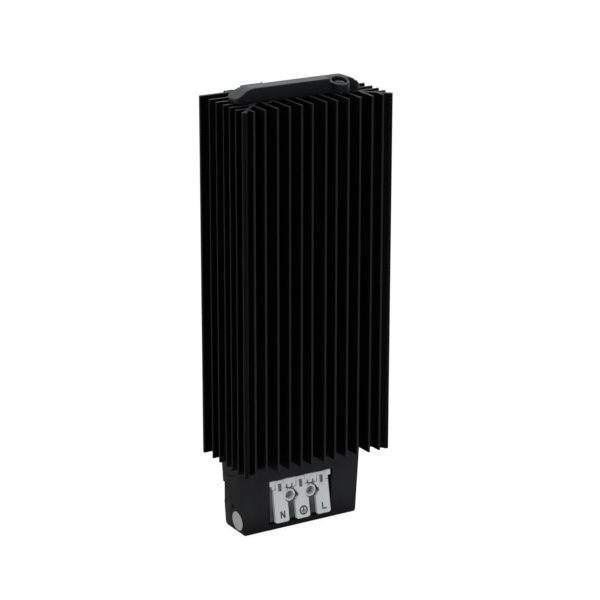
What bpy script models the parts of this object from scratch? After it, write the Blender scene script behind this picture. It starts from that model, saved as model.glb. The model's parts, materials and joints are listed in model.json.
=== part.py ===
"""Finned enclosure heater with a push-lever terminal block and a rail clip.

Metres, +Z up. The front faces -Y. The origin is the middle of the face that seats on a
35 mm mounting rail, so the profile's length is centred on Z = 0.
"""
import math

import bmesh
import bpy
from mathutils import Matrix, Vector

NAME = "enclosure_heater"

# Clearances, and how far helper shapes run past or into a piece
SEAT_GAP = 0.0003          # between pieces that touch
RUNNING_GAP = 0.0004       # beside pieces that slide or turn
CUT_PAST = 0.001           # how far a cutter runs past the face it cuts
SINK = 0.0004              # how far a joined shape runs into what carries it

# Extruded profile
PROFILE_WIDTH = 0.070
PROFILE_LENGTH = 0.1536
FRONT_FIN_LENGTH = 0.015
CORE_WIDTH = 0.041
CORE_DEPTH = 0.0216
CORE_FIN_PLACES = (0.00315, 0.00815, 0.01372, 0.01925)
CORNER_FIN_SHARES = (0.363, 0.686)
DIAGONAL_SIDE_FIN_SHARES = (0.429, 0.763)
CORE_SIDE_FIN_PLACES = (0.00134, 0.00725, 0.01293)
FIN_ROOT = 0.00135
FIN_TIP = 0.0010
FIN_ROOT_FILLET = 0.0005
FIN_TIP_NICK = 0.00025
DIAGONAL_THICKNESS = 0.0016
DIAGONAL_BEAD_RADIUS = 0.00115
WING_THICKNESS = 0.0016
WING_NICK = 0.0003
RAIL_LIP_OUTER_X = 0.0222
RAIL_LIP_WALL = 0.0016
RAIL_LIP_REACH = 0.0028
RAIL_LIP_THICKNESS = 0.0010
RAIL_GROOVE = 0.0014

# Channels and screw ports in the core
CHANNEL_FRONT_WALL = 0.0022
CHANNEL_SIDE_WALL = 0.0060
CHANNEL_CORNER = 0.0004
DIVIDING_WALL = 0.0028
REAR_WALL = 0.0036
FLUE_SIDE_WALL = 0.0069
FLUE_WEB = 0.0058
FLUE_CORNER = 0.0010
PORT_INSET_X = 0.0032
FRONT_PORT_OUT = 0.0014
REAR_PORT_IN = 0.0101
PORT_RADIUS = 0.00175
PORT_BOSS_RADIUS = 0.0030
EARTH_PORT_IN = 0.0104

# Heating pack
PACK_SEAT = 0.0002
PACK_GAP = 0.00015
FILM_THICKNESS = 0.0002
FILM_CORNER = 0.0004
FILM_DROP = 0.0006
FILM_RISE = 0.0020
ELECTRODE_THICKNESS = 0.0005
ELEMENT_THICKNESS = 0.0022
CLAMP_THICKNESS = 0.0008
FILM_SIDE_GAP = 0.0016
ELECTRODE_SIDE_GAP = 0.0026
ELEMENT_SIDE_GAP = 0.0040
ELEMENT_LENGTH = 0.0240
ELEMENT_COUNT = 4
PACK_END_GAP = 0.0060
TAB_WIDTH = 0.0040
TAB_DROP = 0.0048

# Top cap
CAP_LENGTH = 0.058
CAP_OUT = 0.0016              # how far its front stands before the core's front
CAP_DEPTH = 0.0097
CAP_BACK_SLOPE = 0.0014
CAP_HEIGHT = 0.0060
CAP_END_HEIGHT = 0.0019
CAP_SHOULDER_HEIGHT = 0.0049
CAP_SLOPE_LENGTH = 0.0040
CAP_CROWN_LENGTH = 0.0036
CAP_EDGE_RADIUS = 0.0008
CAP_CORNER_RADIUS = 0.0026
CAP_BOSS_RADIUS = 0.0043
CAP_BOSS_BLEND = 0.0030
CAP_BOSS_TILT = math.radians(15)
CAP_BOSS_HEIGHT = 0.0049
CAP_BORE_RADIUS = 0.0031
CAP_SCREW_FLOOR = 0.0022

# Screws
SCREW_RADIUS = 0.00145
SCREW_HEAD_RADIUS = 0.0027
SCREW_HEAD_HEIGHT = 0.0018
SCREW_CROWN_RADIUS = 0.00195
SCREW_LENGTH = 0.012
CROSS_SLOT = 0.0008
CROSS_HALF = 0.0017
CROSS_DEPTH = 0.0010

# Terminal housing
HOUSING_HEIGHT = 0.0325
HOUSING_TOP_HALF = 0.0297
HOUSING_DRAFT = 0.0021
HOUSING_DEPTH = 0.0153
HOUSING_WALL = 0.0020
HOUSING_EDGE = 0.0008
HOUSING_FRONT_FOOT = 0.0008
HOUSING_REAR_FOOT = 0.0022
FRAME_HEIGHT = 0.0080
COVER_DEPTH = 0.0056
WINDOW_HALF = 0.0154
WINDOW_TOP = 0.0103
WINDOW_SILL = 0.0026
EARTH_SLOT_LEFT = 0.0078
EARTH_SLOT_RIGHT = 0.0040
ENTRY_WIDTH = 0.0066
ENTRY_DEPTH = 0.0056
ENTRY_CORNER = 0.0014
SILL_RIB_BACK = 0.0021
SILL_RIB_THICKNESS = 0.0012

# Snap fit between the housing's shell and its rear cover
CATCH_DROP = 0.0214
CATCH_WIDTH = 0.0016
CATCH_HEIGHT = 0.0030
CATCH_DEPTH = 0.0060
SNAP_ARM_THICKNESS = 0.0012
SNAP_ARM_HEIGHT = 0.0024
SNAP_ARM_REACH = 0.0021
SNAP_NIB_START = 0.0012
SNAP_NIB_HEIGHT = 0.0020
SNAP_NIB_OUT = 0.0010
BLOCK_RIB_THICKNESS = 0.0014
BLOCK_RIB_INSET = 0.0010

# Terminal block
POLE_PITCH = 0.0102
BLOCK_HALF = 0.0137
BLOCK_DEPTH = 0.0110
BLOCK_TOP = 0.0106
BLOCK_FLOOR_GAP = 0.0031
BLOCK_FLOOR = 0.0019
BLOCK_ROOF = 0.0018
BLOCK_FACE_WALL = 0.0016
BEAM_BOTTOM = 0.0146
BEAM_PROUD = 0.0020
EAR_REACH = 0.0012
EAR_HEIGHT = 0.0024
FLANGE_REACH = 0.0033
FLANGE_THICKNESS = 0.0015
RING_DROP = 0.0182
RING_RADIUS = 0.0028
RING_PROUD = 0.0002
RING_HOLE_RADIUS = 0.0018
RING_HOLE_DEPTH = 0.0040
CAVITY_HALF = 0.0031
FUNNEL_RADIUS = 0.0019
FUNNEL_BACK = 0.0068
FUNNEL_FLARE = 0.0007
FUNNEL_FLARE_DEPTH = 0.0010

# Contact bars and clamp springs
BAR_BACK = 0.0094
BAR_THICKNESS = 0.0008
BAR_WAY = 0.0016
BAR_HEAD = 0.0020
BAR_FOOT = 0.0022
LEAF_THICKNESS = 0.0004
LEAF_WIDTH = 0.0038
LEAF_FRONT_GAP = 0.0006
LEAF_REACH = 0.0044
LEAF_TOP_SHARE = 0.77         # of the space between the cavity's floor and a lever's toe
LEAF_FOOT_SHARE = 0.38
LEAF_END_SHARE = 0.16
LEAF_BEND_SHARE = 0.13

# Push levers
LEVER_HALF = 0.00335
LEVER_TONGUE_HALF = 0.0020
LEVER_THICKNESS = 0.0014
LEVER_TOP = 0.0108
LEVER_FLOOR_GAP = 0.0015
LEVER_TILT = math.radians(10.2)
LEVER_CORNER = 0.0010
LEVER_PROUD = 0.0001
LEVER_SLOT_DROP = 0.0012
PIVOT_DROP = 0.0134
PIVOT_BACK = 0.0020
BARREL_RADIUS = 0.0011
TRUNNION_RADIUS = 0.0007
TRUNNION_REACH = 0.0009
LEVER_WINDOW_WIDTH = 0.0019
LEVER_WINDOW_HEIGHT = 0.0036
LEVER_WINDOW_DROP = 0.0121
LEVER_WINDOW_CORNER = 0.0002
TOE_REACH = 0.0032
TOE_HEIGHT = 0.0013
TOE_WIDTH = 0.0026

# Leads inside the housing, and the earth lug
WIRE_RADIUS = 0.0008
LEAD_BOW = 0.0040
LEAD_DIP = 0.0016
LEAD_RISE = 0.0028
LUG_RADIUS = 0.0025
LUG_THICKNESS = 0.0008
LUG_ARM = 0.0068
LUG_ARM_HALF = 0.0012
LUG_DROP = 0.0042
EARTH_SCREW_LENGTH = 0.008

# Rail clip
RAIL_HEIGHT = 0.035
RAIL_PLAY = 0.0002
CLIP_DEPTH = 0.0099
CLIP_HALF = 0.0173
CLIP_HEIGHT = 0.052
CLIP_FLANGE = 0.0009
CLIP_SCREW_X = 0.0125
CLIP_SCREW_LENGTH = 0.0088
CLIP_RECESS = 0.0040
POCKET_HALF = 0.0026
POCKET_HEIGHT = 0.0110
POCKET_PLACE = 0.0125
POCKET_CORNER = 0.0012
HOOK_DEPTH = 0.0035
HOOK_ROOT = 0.0008
HOOK_THICKNESS = 0.0046
HOOK_LIP = 0.0028
HOOK_SLOT = 0.0014
HOOK_NOSE = 0.0012
HOOK_LEAD = 0.0005

# Latch of the rail clip
LATCH_HALF = 0.0080
LATCH_DEPTH = 0.0049
LATCH_RUNNER = 0.0009
LATCH_RUNNER_DEPTH = 0.0014
LATCH_ABOVE_EDGE = 0.0055
LATCH_FOOT_BELOW = 0.0035
LATCH_NOSE = 0.0038
LATCH_TAB_HALF = 0.0050
LATCH_TAB = 0.0040
LATCH_TAB_BACK = 0.0020
TAB_SLOT_HALF = 0.0026
TAB_SLOT_DROP = 0.0011
TAB_SLOT_HEIGHT = 0.0014
LATCH_WINDOW_HALF = 0.0030
LATCH_WINDOW_ABOVE_EDGE = 0.0025
LATCH_WINDOW_BELOW = 0.0008
PEG_HEIGHT = 0.0014
PEG_HALF = 0.0024
SPRING_RADIUS = 0.0017
SPRING_WIRE = 0.00022
SPRING_TURNS = 6
SPRING_STEPS = 8

# Round label
STICKER_RADIUS = 0.0042
STICKER_THICKNESS = 0.00025
STICKER_SEAT = 0.0001
STICKER_BACK = 0.0049
STICKER_RISE = 0.0064

# Places that follow from the sizes
CHANNEL_DEPTH = (2 * PACK_SEAT + 2 * FILM_THICKNESS + 4 * PACK_GAP + 2 * ELECTRODE_THICKNESS
                 + ELEMENT_THICKNESS + PACK_SEAT + CLAMP_THICKNESS)
REAR_Y = -CLIP_DEPTH
CORE_FRONT_Y = REAR_Y - CORE_DEPTH
FRONT_Y = CORE_FRONT_Y - FRONT_FIN_LENGTH
TOP_Z = PROFILE_LENGTH / 2
BOTTOM_Z = -TOP_Z
SIDE_X = PROFILE_WIDTH / 2
CORE_HALF = CORE_WIDTH / 2
CHANNEL_FRONT_Y = CORE_FRONT_Y + CHANNEL_FRONT_WALL
CHANNEL_REAR_Y = CHANNEL_FRONT_Y + CHANNEL_DEPTH
CHANNEL_HALF = CORE_HALF - CHANNEL_SIDE_WALL
FLUE_FRONT_Y = CHANNEL_REAR_Y + DIVIDING_WALL
FLUE_REAR_Y = REAR_Y - REAR_WALL
PORT_X = CORE_HALF - PORT_INSET_X
FRONT_PORT_Y = CORE_FRONT_Y - FRONT_PORT_OUT
REAR_PORT_Y = CORE_FRONT_Y + REAR_PORT_IN
EARTH_PORT_Y = CORE_FRONT_Y + EARTH_PORT_IN
GROOVE_HALF = RAIL_LIP_OUTER_X - RAIL_LIP_WALL
CAP_BASE_Z = TOP_Z + SEAT_GAP
CAP_FRONT_Y = CORE_FRONT_Y - CAP_OUT
CAP_REAR_Y = CAP_FRONT_Y + CAP_DEPTH
HOUSING_TOP_Z = BOTTOM_Z - SEAT_GAP
HOUSING_BOTTOM_Z = BOTTOM_Z - HOUSING_HEIGHT
HOUSING_ROOF_Z = HOUSING_TOP_Z - HOUSING_WALL
HOUSING_FLOOR_Z = HOUSING_BOTTOM_Z + HOUSING_WALL
HOUSING_REAR_Y = CORE_FRONT_Y + HOUSING_DEPTH
COVER_INNER_Y = HOUSING_REAR_Y - HOUSING_WALL
COVER_FRONT_Y = HOUSING_REAR_Y - COVER_DEPTH
SEAM_Z = BOTTOM_Z - FRAME_HEIGHT
CATCH_Z = BOTTOM_Z - CATCH_DROP
BLOCK_TOP_Z = BOTTOM_Z - BLOCK_TOP
BLOCK_BOTTOM_Z = HOUSING_FLOOR_Z + BLOCK_FLOOR_GAP
BEAM_BOTTOM_Z = BOTTOM_Z - BEAM_BOTTOM
LEVER_BOTTOM = HOUSING_HEIGHT - HOUSING_WALL - LEVER_FLOOR_GAP
BLOCK_REAR_Y = CORE_FRONT_Y + BLOCK_DEPTH
FACE_Y = CORE_FRONT_Y + BEAM_PROUD
FLANGE_FRONT_Y = CORE_FRONT_Y + HOUSING_WALL + SEAT_GAP
CAVITY_FRONT_Y = FACE_Y + BLOCK_FACE_WALL
ENTRY_Y = CORE_FRONT_Y + FUNNEL_BACK
BAR_Y = CORE_FRONT_Y + BAR_BACK
BAR_TOP_Z = BLOCK_TOP_Z + BAR_HEAD
PIVOT_Y = CORE_FRONT_Y + PIVOT_BACK
PIVOT_Z = BOTTOM_Z - PIVOT_DROP
SCREW_SEAT_Z = HOUSING_ROOF_Z - SEAT_GAP
LUG_TOP_Z = BOTTOM_Z - SEAT_GAP
RAIL_EDGE = RAIL_HEIGHT / 2 + RAIL_PLAY
CLIP_FOOT_Z = -CLIP_HEIGHT / 2
LATCH_TOP_Z = -RAIL_EDGE + LATCH_ABOVE_EDGE
LATCH_FOOT_Z = CLIP_FOOT_Z - LATCH_FOOT_BELOW
LATCH_WINDOW_TOP_Z = -RAIL_EDGE + LATCH_WINDOW_ABOVE_EDGE
RUNNER_Y = -LATCH_DEPTH / 2 - RUNNING_GAP
WINDOW_BACK_Y = -RUNNING_GAP + SINK / 8
POLES = {"n": -POLE_PITCH, "earth": 0.0, "l": POLE_PITCH}
SIDES = {"left": -1, "right": 1}

parts = bpy.data.collections.new(NAME)
cutters = bpy.data.collections.new("cutters")


def clear_scene():
    for obj in list(bpy.data.objects):
        bpy.data.objects.remove(obj)
    for group in (parts, cutters):
        bpy.context.scene.collection.children.link(group)


def material(name, color, roughness, metallic=0.0):
    """A plain painted, moulded or metal finish."""
    mat = bpy.data.materials.new(name)
    mat.use_nodes = True
    shader = mat.node_tree.nodes["Principled BSDF"]
    shader.inputs["Base Color"].default_value = (*color, 1.0)
    shader.inputs["Roughness"].default_value = roughness
    shader.inputs["Metallic"].default_value = metallic
    mat.diffuse_color = (*color, 1.0)
    return mat


BLACK_ANODISED = material("black_anodised", (0.006, 0.006, 0.007), 0.42, 0.6)
CAP_PLASTIC = material("cap_plastic", (0.030, 0.032, 0.033), 0.50)
DARK_PLASTIC = material("dark_plastic", (0.020, 0.021, 0.024), 0.55)
CLIP_PLASTIC = material("clip_plastic", (0.018, 0.018, 0.020), 0.50)
LEVER_PLASTIC = material("lever_plastic", (0.60, 0.64, 0.64), 0.45)
BLOCK_PLASTIC = material("block_plastic", (0.50, 0.54, 0.50), 0.50)
ZINC = material("zinc", (0.62, 0.62, 0.60), 0.30, 1.0)
BRASS = material("brass", (0.70, 0.52, 0.22), 0.30, 1.0)
SPRING_STEEL = material("spring_steel", (0.50, 0.50, 0.50), 0.28, 1.0)
CERAMIC = material("ceramic", (0.20, 0.19, 0.18), 0.70)
FILM = material("film", (0.55, 0.30, 0.05), 0.30)
PLATE_ALUMINIUM = material("plate_aluminium", (0.70, 0.70, 0.71), 0.35, 1.0)
LIVE_JACKET = material("live_jacket", (0.16, 0.07, 0.03), 0.50)
NEUTRAL_JACKET = material("neutral_jacket", (0.03, 0.08, 0.35), 0.50)
EARTH_JACKET = material("earth_jacket", (0.12, 0.30, 0.04), 0.50)
LABEL = material("label", (0.62, 0.62, 0.60), 0.50)


def add(name, mesh, group=parts):
    """Put a mesh in the scene, as a piece or as a cutter."""
    obj = bpy.data.objects.new(name, mesh)
    group.objects.link(obj)
    if group is cutters:
        obj.hide_render = True
        obj.display_type = "WIRE"
    return obj


def finish(obj, mat, smooth=True):
    obj.data.materials.clear()
    obj.data.materials.append(mat)
    if smooth:
        obj.data.shade_smooth()
        obj.data.set_sharp_from_angle(angle=math.radians(35))
    return obj


def mesh_from(bm, name):
    bmesh.ops.recalc_face_normals(bm, faces=bm.faces)
    mesh = bpy.data.meshes.new(name)
    bm.to_mesh(mesh)
    bm.free()
    return mesh


def around(middle, width):
    """The low and high value of a span of this width."""
    return (middle - width / 2, middle + width / 2)


def box(name, x, y, z, group=parts):
    """A block between two x, two y and two z values, with its origin at its middle."""
    bm = bmesh.new()
    bmesh.ops.create_cube(bm, size=1.0)
    bmesh.ops.scale(bm, vec=(x[1] - x[0], y[1] - y[0], z[1] - z[0]), verts=bm.verts)
    obj = add(name, mesh_from(bm, name), group)
    obj.location = (sum(x) / 2, sum(y) / 2, sum(z) / 2)
    return obj


def rod(name, radius, start, end, group=parts, sides=24, end_radius=None):
    """A round bar, or a cone, between two points."""
    start, end = Vector(start), Vector(end)
    bm = bmesh.new()
    bmesh.ops.create_cone(
        bm, cap_ends=True, segments=sides, radius1=radius,
        radius2=radius if end_radius is None else end_radius, depth=(end - start).length)
    obj = add(name, mesh_from(bm, name), group)
    obj.location = (start + end) / 2
    obj.rotation_euler = (end - start).to_track_quat("Z", "Y").to_euler()
    return obj


def arc(center, radius, start, end, steps):
    """Points along an arc, angles in degrees."""
    angles = [math.radians(start + (end - start) * i / steps) for i in range(steps + 1)]
    return [(center[0] + radius * math.cos(a), center[1] + radius * math.sin(a)) for a in angles]


def circle(center, radius, steps=12):
    return arc(center, radius, 0, 360 - 360 / steps, steps - 1)


def rounded_rectangle(x, y, radius, steps=3):
    corners = (((x[1] - radius, y[1] - radius), 0), ((x[0] + radius, y[1] - radius), 90),
               ((x[0] + radius, y[0] + radius), 180), ((x[1] - radius, y[0] + radius), 270))
    points = []
    for center, start in corners:
        points += arc(center, radius, start, start + 90, steps)
    return points


def mirrored(right):
    """A closed outline from the points of its right-hand half."""
    return right + [(-u, v) for u, v in reversed(right)]


def prism(name, outlines, axis, low, high, group=parts, bevel=0.0):
    """Flat outlines, the first one outer and the rest holes, given thickness along an axis.

    Along X an outline holds (y, z) pairs, along Y (x, z) pairs and along Z (x, y) pairs.
    """
    curve = bpy.data.curves.new(name, "CURVE")
    curve.dimensions = "2D"
    curve.fill_mode = "BOTH"
    curve.extrude = (high - low) / 2 - bevel
    curve.bevel_depth = bevel
    curve.bevel_resolution = 1
    curve.offset = -bevel
    for outline in outlines:
        spline = curve.splines.new("POLY")
        spline.points.add(len(outline) - 1)
        for point, (u, v) in zip(spline.points, outline):
            point.co = (u, v, 0.0, 1.0)
        spline.use_cyclic_u = True
    turn = {"X": Matrix(((0, 0, 1), (1, 0, 0), (0, 1, 0))),
            "Y": Matrix(((1, 0, 0), (0, 0, -1), (0, 1, 0))),
            "Z": Matrix.Identity(3)}[axis]
    middle = Vector([(low + high) / 2 if letter == axis else 0.0 for letter in "XYZ"])
    return solid_from_curve(name, curve, Matrix.Translation(middle) @ turn.to_4x4(), group)


def solid_from_curve(name, curve, matrix, group=parts):
    """Turn a curve into a closed mesh object with its caps welded on."""
    guide = bpy.data.objects.new(name + "_curve", curve)
    bpy.context.scene.collection.objects.link(guide)
    guide.matrix_world = matrix
    bpy.context.view_layer.update()
    evaluated = guide.evaluated_get(bpy.context.evaluated_depsgraph_get())
    mesh = bpy.data.meshes.new_from_object(evaluated)
    bm = bmesh.new()
    bm.from_mesh(mesh)
    bmesh.ops.remove_doubles(bm, verts=bm.verts, dist=0.000005)
    bmesh.ops.recalc_face_normals(bm, faces=bm.faces)
    bm.to_mesh(mesh)
    bm.free()
    mesh.name = name
    obj = add(name, mesh, group)
    obj.matrix_world = guide.matrix_world
    bpy.data.objects.remove(guide)
    return obj


def combine(obj, operation, *others, solver="EXACT"):
    """Cut, join or trim a piece with cutters."""
    for other in others:
        step = obj.modifiers.new(operation.lower() + "_" + other.name, "BOOLEAN")
        step.operation = operation
        step.solver = solver
        step.object = other
    return obj


def cut(obj, *others, solver="EXACT"):
    return combine(obj, "DIFFERENCE", *others, solver=solver)


def join(obj, *others, solver="EXACT"):
    return combine(obj, "UNION", *others, solver=solver)


def recentre(obj, pivot):
    """Move an object's origin to a point, and leave its mesh where it is."""
    bpy.context.view_layer.update()
    pivot = Vector(pivot)
    obj.data.transform(Matrix.Translation(-pivot) @ obj.matrix_world)
    obj.matrix_world = Matrix.Translation(pivot)
    return obj


def fin(root_a, root_b, tip, across, fillet=0.0):
    """Points of one fin, from one root over the tip to the other root.

    across is the unit step from the first side to the second one.
    """
    root_a, root_b, tip, across = Vector(root_a), Vector(root_b), Vector(tip), Vector(across)
    out = (tip - (root_a + root_b) / 2).normalized()
    side = across * FIN_TIP / 2
    low = tip - out * FIN_TIP_NICK
    points = [low - side, tip - side / 2, tip + side / 2, low + side]
    if fillet:
        first = [root_a - across * fillet, root_a + out * fillet]
        last = [root_b + out * fillet, root_b + across * fillet]
    else:
        first, last = [root_a], [root_b]
    return [tuple(p) for p in first + points + last]


class Diagonal:
    """The fin that runs from the core's front corner to the profile's front corner."""

    def __init__(self):
        corner = Vector((SIDE_X, FRONT_Y))
        foot = Vector((CORE_HALF, CORE_FRONT_Y))
        self.along = (corner - foot).normalized()
        half = Vector((-self.along.y, self.along.x)) * DIAGONAL_THICKNESS / 2
        if half.x < 0:
            half = -half
        self.front = foot - half
        self.rear = foot + half

    def front_at(self, x):
        return (x, self.front.y + (x - self.front.x) * self.along.y / self.along.x)

    def rear_at(self, y):
        return (self.rear.x + (y - self.rear.y) * self.along.x / self.along.y, y)

    def bead(self):
        """The round end, which touches the front and the side."""
        center = (SIDE_X - DIAGONAL_BEAD_RADIUS, FRONT_Y + DIAGONAL_BEAD_RADIUS)
        angle = math.degrees(math.atan2(self.along.y, self.along.x))
        neck = math.degrees(math.asin(DIAGONAL_THICKNESS / 2 / DIAGONAL_BEAD_RADIUS))
        return arc(center, DIAGONAL_BEAD_RADIUS, angle - 180 + neck, angle + 180 - neck, 10)


def front_port_boss(half):
    """The screw port's swelling beside the last fin on the core, and whether it meets the fin before."""
    before = (PORT_X - CORE_FIN_PLACES[-2] - half) / PORT_BOSS_RADIUS
    meets = before < 1.0
    if meets:
        start = 180 + math.degrees(math.acos(before))
    else:
        start = 180 - math.degrees(math.asin(FRONT_PORT_OUT / PORT_BOSS_RADIUS))
    end = 360 - math.degrees(math.acos((CORE_FIN_PLACES[-1] - half - PORT_X) / PORT_BOSS_RADIUS))
    return arc((PORT_X, FRONT_PORT_Y), PORT_BOSS_RADIUS, start, end, 6), meets


def half_profile():
    """The right-hand half of the extrusion's outline, from the front middle to the rear middle."""
    diagonal = Diagonal()
    right, back = (1.0, 0.0), (0.0, 1.0)
    half = FIN_ROOT / 2
    points = [(0.0, CORE_FRONT_Y)]
    for x in CORE_FIN_PLACES[:-1]:
        roots = ((x - half, CORE_FRONT_Y), (x + half, CORE_FRONT_Y))
        points += fin(*roots, (x, FRONT_Y), right, FIN_ROOT_FILLET)
    last = CORE_FIN_PLACES[-1]
    boss, meets = front_port_boss(half)
    points = points[:-2] if meets else points[:-1]
    points += boss
    points += fin(boss[-1], diagonal.front_at(last + half), (last, FRONT_Y), right)[1:]
    for share in CORNER_FIN_SHARES:
        x = last + (SIDE_X - last) * share
        points += fin(diagonal.front_at(x - half), diagonal.front_at(x + half), (x, FRONT_Y), right)
    points += diagonal.bead()
    for share in DIAGONAL_SIDE_FIN_SHARES:
        y = FRONT_Y + FRONT_FIN_LENGTH * share
        points += fin(diagonal.rear_at(y - half), diagonal.rear_at(y + half), (SIDE_X, y), back)
    for place in CORE_SIDE_FIN_PLACES:
        y = CORE_FRONT_Y + place
        root = diagonal.rear_at(y - half)
        if root[0] > CORE_HALF:
            points += fin(root, (CORE_HALF, y + half), (SIDE_X, y), back)
        else:
            roots = ((CORE_HALF, y - half), (CORE_HALF, y + half))
            points += fin(*roots, (SIDE_X, y), back, FIN_ROOT_FILLET)
    # The wings of the rear plate are the last fins
    wing_y = REAR_Y - WING_THICKNESS
    points += [(CORE_HALF, wing_y), (SIDE_X - WING_NICK, wing_y), (SIDE_X, wing_y + WING_NICK),
               (SIDE_X, REAR_Y - WING_NICK), (SIDE_X - WING_NICK, REAR_Y)]
    # The lip that holds the rail clip's flange
    lip_y = REAR_Y + RAIL_GROOVE
    lip_end = lip_y + RAIL_LIP_THICKNESS
    lip_x = GROOVE_HALF - RAIL_LIP_REACH
    points += [(RAIL_LIP_OUTER_X, REAR_Y), (RAIL_LIP_OUTER_X, lip_end), (lip_x, lip_end),
               (lip_x, lip_y), (GROOVE_HALF, lip_y), (GROOVE_HALF, REAR_Y), (0.0, REAR_Y)]
    return points


def make_profile():
    """The extruded heatsink, with its channels and screw ports as holes in the outline."""
    half = half_profile()
    outer = half + [(-x, y) for x, y in reversed(half[1:-1])]
    channel = rounded_rectangle((-CHANNEL_HALF, CHANNEL_HALF), (CHANNEL_FRONT_Y, CHANNEL_REAR_Y),
                                CHANNEL_CORNER, 2)
    earth_port = circle((0.0, EARTH_PORT_Y), PORT_RADIUS)
    holes = [channel, earth_port]
    flue_low, flue_high = FLUE_WEB / 2, CORE_HALF - FLUE_SIDE_WALL
    for side in SIDES.values():
        flue_x = sorted((side * flue_low, side * flue_high))
        holes.append(rounded_rectangle(flue_x, (FLUE_FRONT_Y, FLUE_REAR_Y), FLUE_CORNER))
        for y in (FRONT_PORT_Y, REAR_PORT_Y):
            holes.append(circle((side * PORT_X, y), PORT_RADIUS))
    profile = prism("heatsink_profile", [outer] + holes, "Z", BOTTOM_Z, TOP_Z)
    for tag, side in SIDES.items():
        x = side * CLIP_SCREW_X
        hole = rod("clip_screw_hole_" + tag, PORT_RADIUS, (x, REAR_Y - REAR_WALL - CUT_PAST, 0),
                   (x, REAR_Y + CUT_PAST, 0), cutters, 16)
        cut(profile, hole, solver="MANIFOLD")
    return finish(profile, BLACK_ANODISED)


def cap_side(face_y, boss_y):
    """One long side of the cap seen from above, which faces -Y and has a boss near its right end."""
    corner_x, corner_y = CAP_LENGTH / 2 - CAP_CORNER_RADIUS, face_y + CAP_CORNER_RADIUS
    boss = Vector((PORT_X, boss_y))
    blend_y = face_y - CAP_BOSS_BLEND
    span = CAP_BOSS_RADIUS + CAP_BOSS_BLEND
    reach = math.sqrt(span ** 2 - (blend_y - boss.y) ** 2)
    blend = Vector((boss.x - reach, blend_y))
    turn = math.degrees(math.atan2(boss.y - blend.y, boss.x - blend.x))
    exit_angle = math.degrees(math.asin((face_y - boss.y) / CAP_BOSS_RADIUS))
    path = arc((-corner_x, corner_y), CAP_CORNER_RADIUS, 180, 270, 4)
    path += arc(blend, CAP_BOSS_BLEND, 90, turn, 4)
    path += arc(boss, CAP_BOSS_RADIUS, 180 + turn, 360 + exit_angle, 12)
    return path + arc((corner_x, corner_y), CAP_CORNER_RADIUS, 270, 360, 4)[:-1]


def cap_plan():
    """The cap seen from above: a bar with a boss at two opposite corners."""
    rear = cap_side(-CAP_REAR_Y, -REAR_PORT_Y)
    return cap_side(CAP_FRONT_Y, FRONT_PORT_Y) + [(-x, -y) for x, y in rear]


def cap_elevation():
    """The cap seen from the front: a low end, a slope, a crowned shoulder and a level top."""
    end = CAP_LENGTH / 2
    slope = end - CAP_SLOPE_LENGTH
    right = [(end, 0.0), (end, CAP_END_HEIGHT), (slope, CAP_SHOULDER_HEIGHT)]
    rise = CAP_HEIGHT - CAP_SHOULDER_HEIGHT
    steps = 4
    for i in range(1, steps + 1):
        t = i / steps
        height = CAP_SHOULDER_HEIGHT + rise * (1 - (1 - t) ** 2)
        right.append((slope - CAP_CROWN_LENGTH * t, height))
    return mirrored(right)


def make_cap():
    """The moulded bar that closes the heating channel, with two screw bosses."""
    cap = prism("top_cap", [cap_plan()], "Z", CAP_BASE_Z - 2 * CAP_EDGE_RADIUS, CAP_BASE_Z + CAP_HEIGHT,
                bevel=CAP_EDGE_RADIUS)
    outline = [(x, z + CAP_BASE_Z) for x, z in cap_elevation()]
    front_view = prism("cap_elevation", [outline], "Y", CAP_FRONT_Y - CAP_DEPTH, CAP_REAR_Y + CAP_DEPTH,
                       cutters)
    combine(cap, "INTERSECT", front_view, solver="MANIFOLD")
    # The rear top edge slopes, from beside the rear boss to the far end
    slope_y, slope_z = CAP_REAR_Y - CAP_BACK_SLOPE, CAP_BASE_Z + CAP_HEIGHT
    back = [(slope_y - CUT_PAST, slope_z + CUT_PAST), (CAP_REAR_Y + CUT_PAST, slope_z + CUT_PAST),
            (CAP_REAR_Y + CUT_PAST, slope_z - CAP_BACK_SLOPE - CUT_PAST)]
    cut(cap, prism("cap_back_slope", [back], "X", -PORT_X + CAP_BOSS_RADIUS + CAP_BOSS_BLEND,
                   CAP_LENGTH / 2 + CUT_PAST, cutters), solver="MANIFOLD")
    wide = CAP_BOSS_RADIUS + SEAT_GAP
    floor_z = CAP_BASE_Z + CAP_SCREW_FLOOR
    for tag, sign, y in (("front", 1, FRONT_PORT_Y), ("rear", -1, REAR_PORT_Y)):
        x = sign * PORT_X
        # The boss's top slopes down away from the bar
        wedge = box("boss_slope_" + tag, (-wide, wide), (-CAP_DEPTH, CAP_DEPTH), (0.0, CAP_DEPTH), cutters)
        recentre(wedge, (0.0, 0.0, 0.0))
        wedge.location = (x, y, CAP_BASE_Z + CAP_BOSS_HEIGHT)
        wedge.rotation_euler = (sign * CAP_BOSS_TILT, 0.0, 0.0)
        bore = rod("boss_bore_" + tag, CAP_BORE_RADIUS, (x, y, floor_z),
                   (x, y, CAP_BASE_Z + CAP_HEIGHT + CUT_PAST), cutters)
        hole = rod("boss_hole_" + tag, PORT_RADIUS, (x, y, CAP_BASE_Z - CUT_PAST),
                   (x, y, floor_z + CUT_PAST), cutters, 16)
        cut(cap, wedge, bore, hole, solver="MANIFOLD")
    return finish(cap, CAP_PLASTIC)


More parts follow.
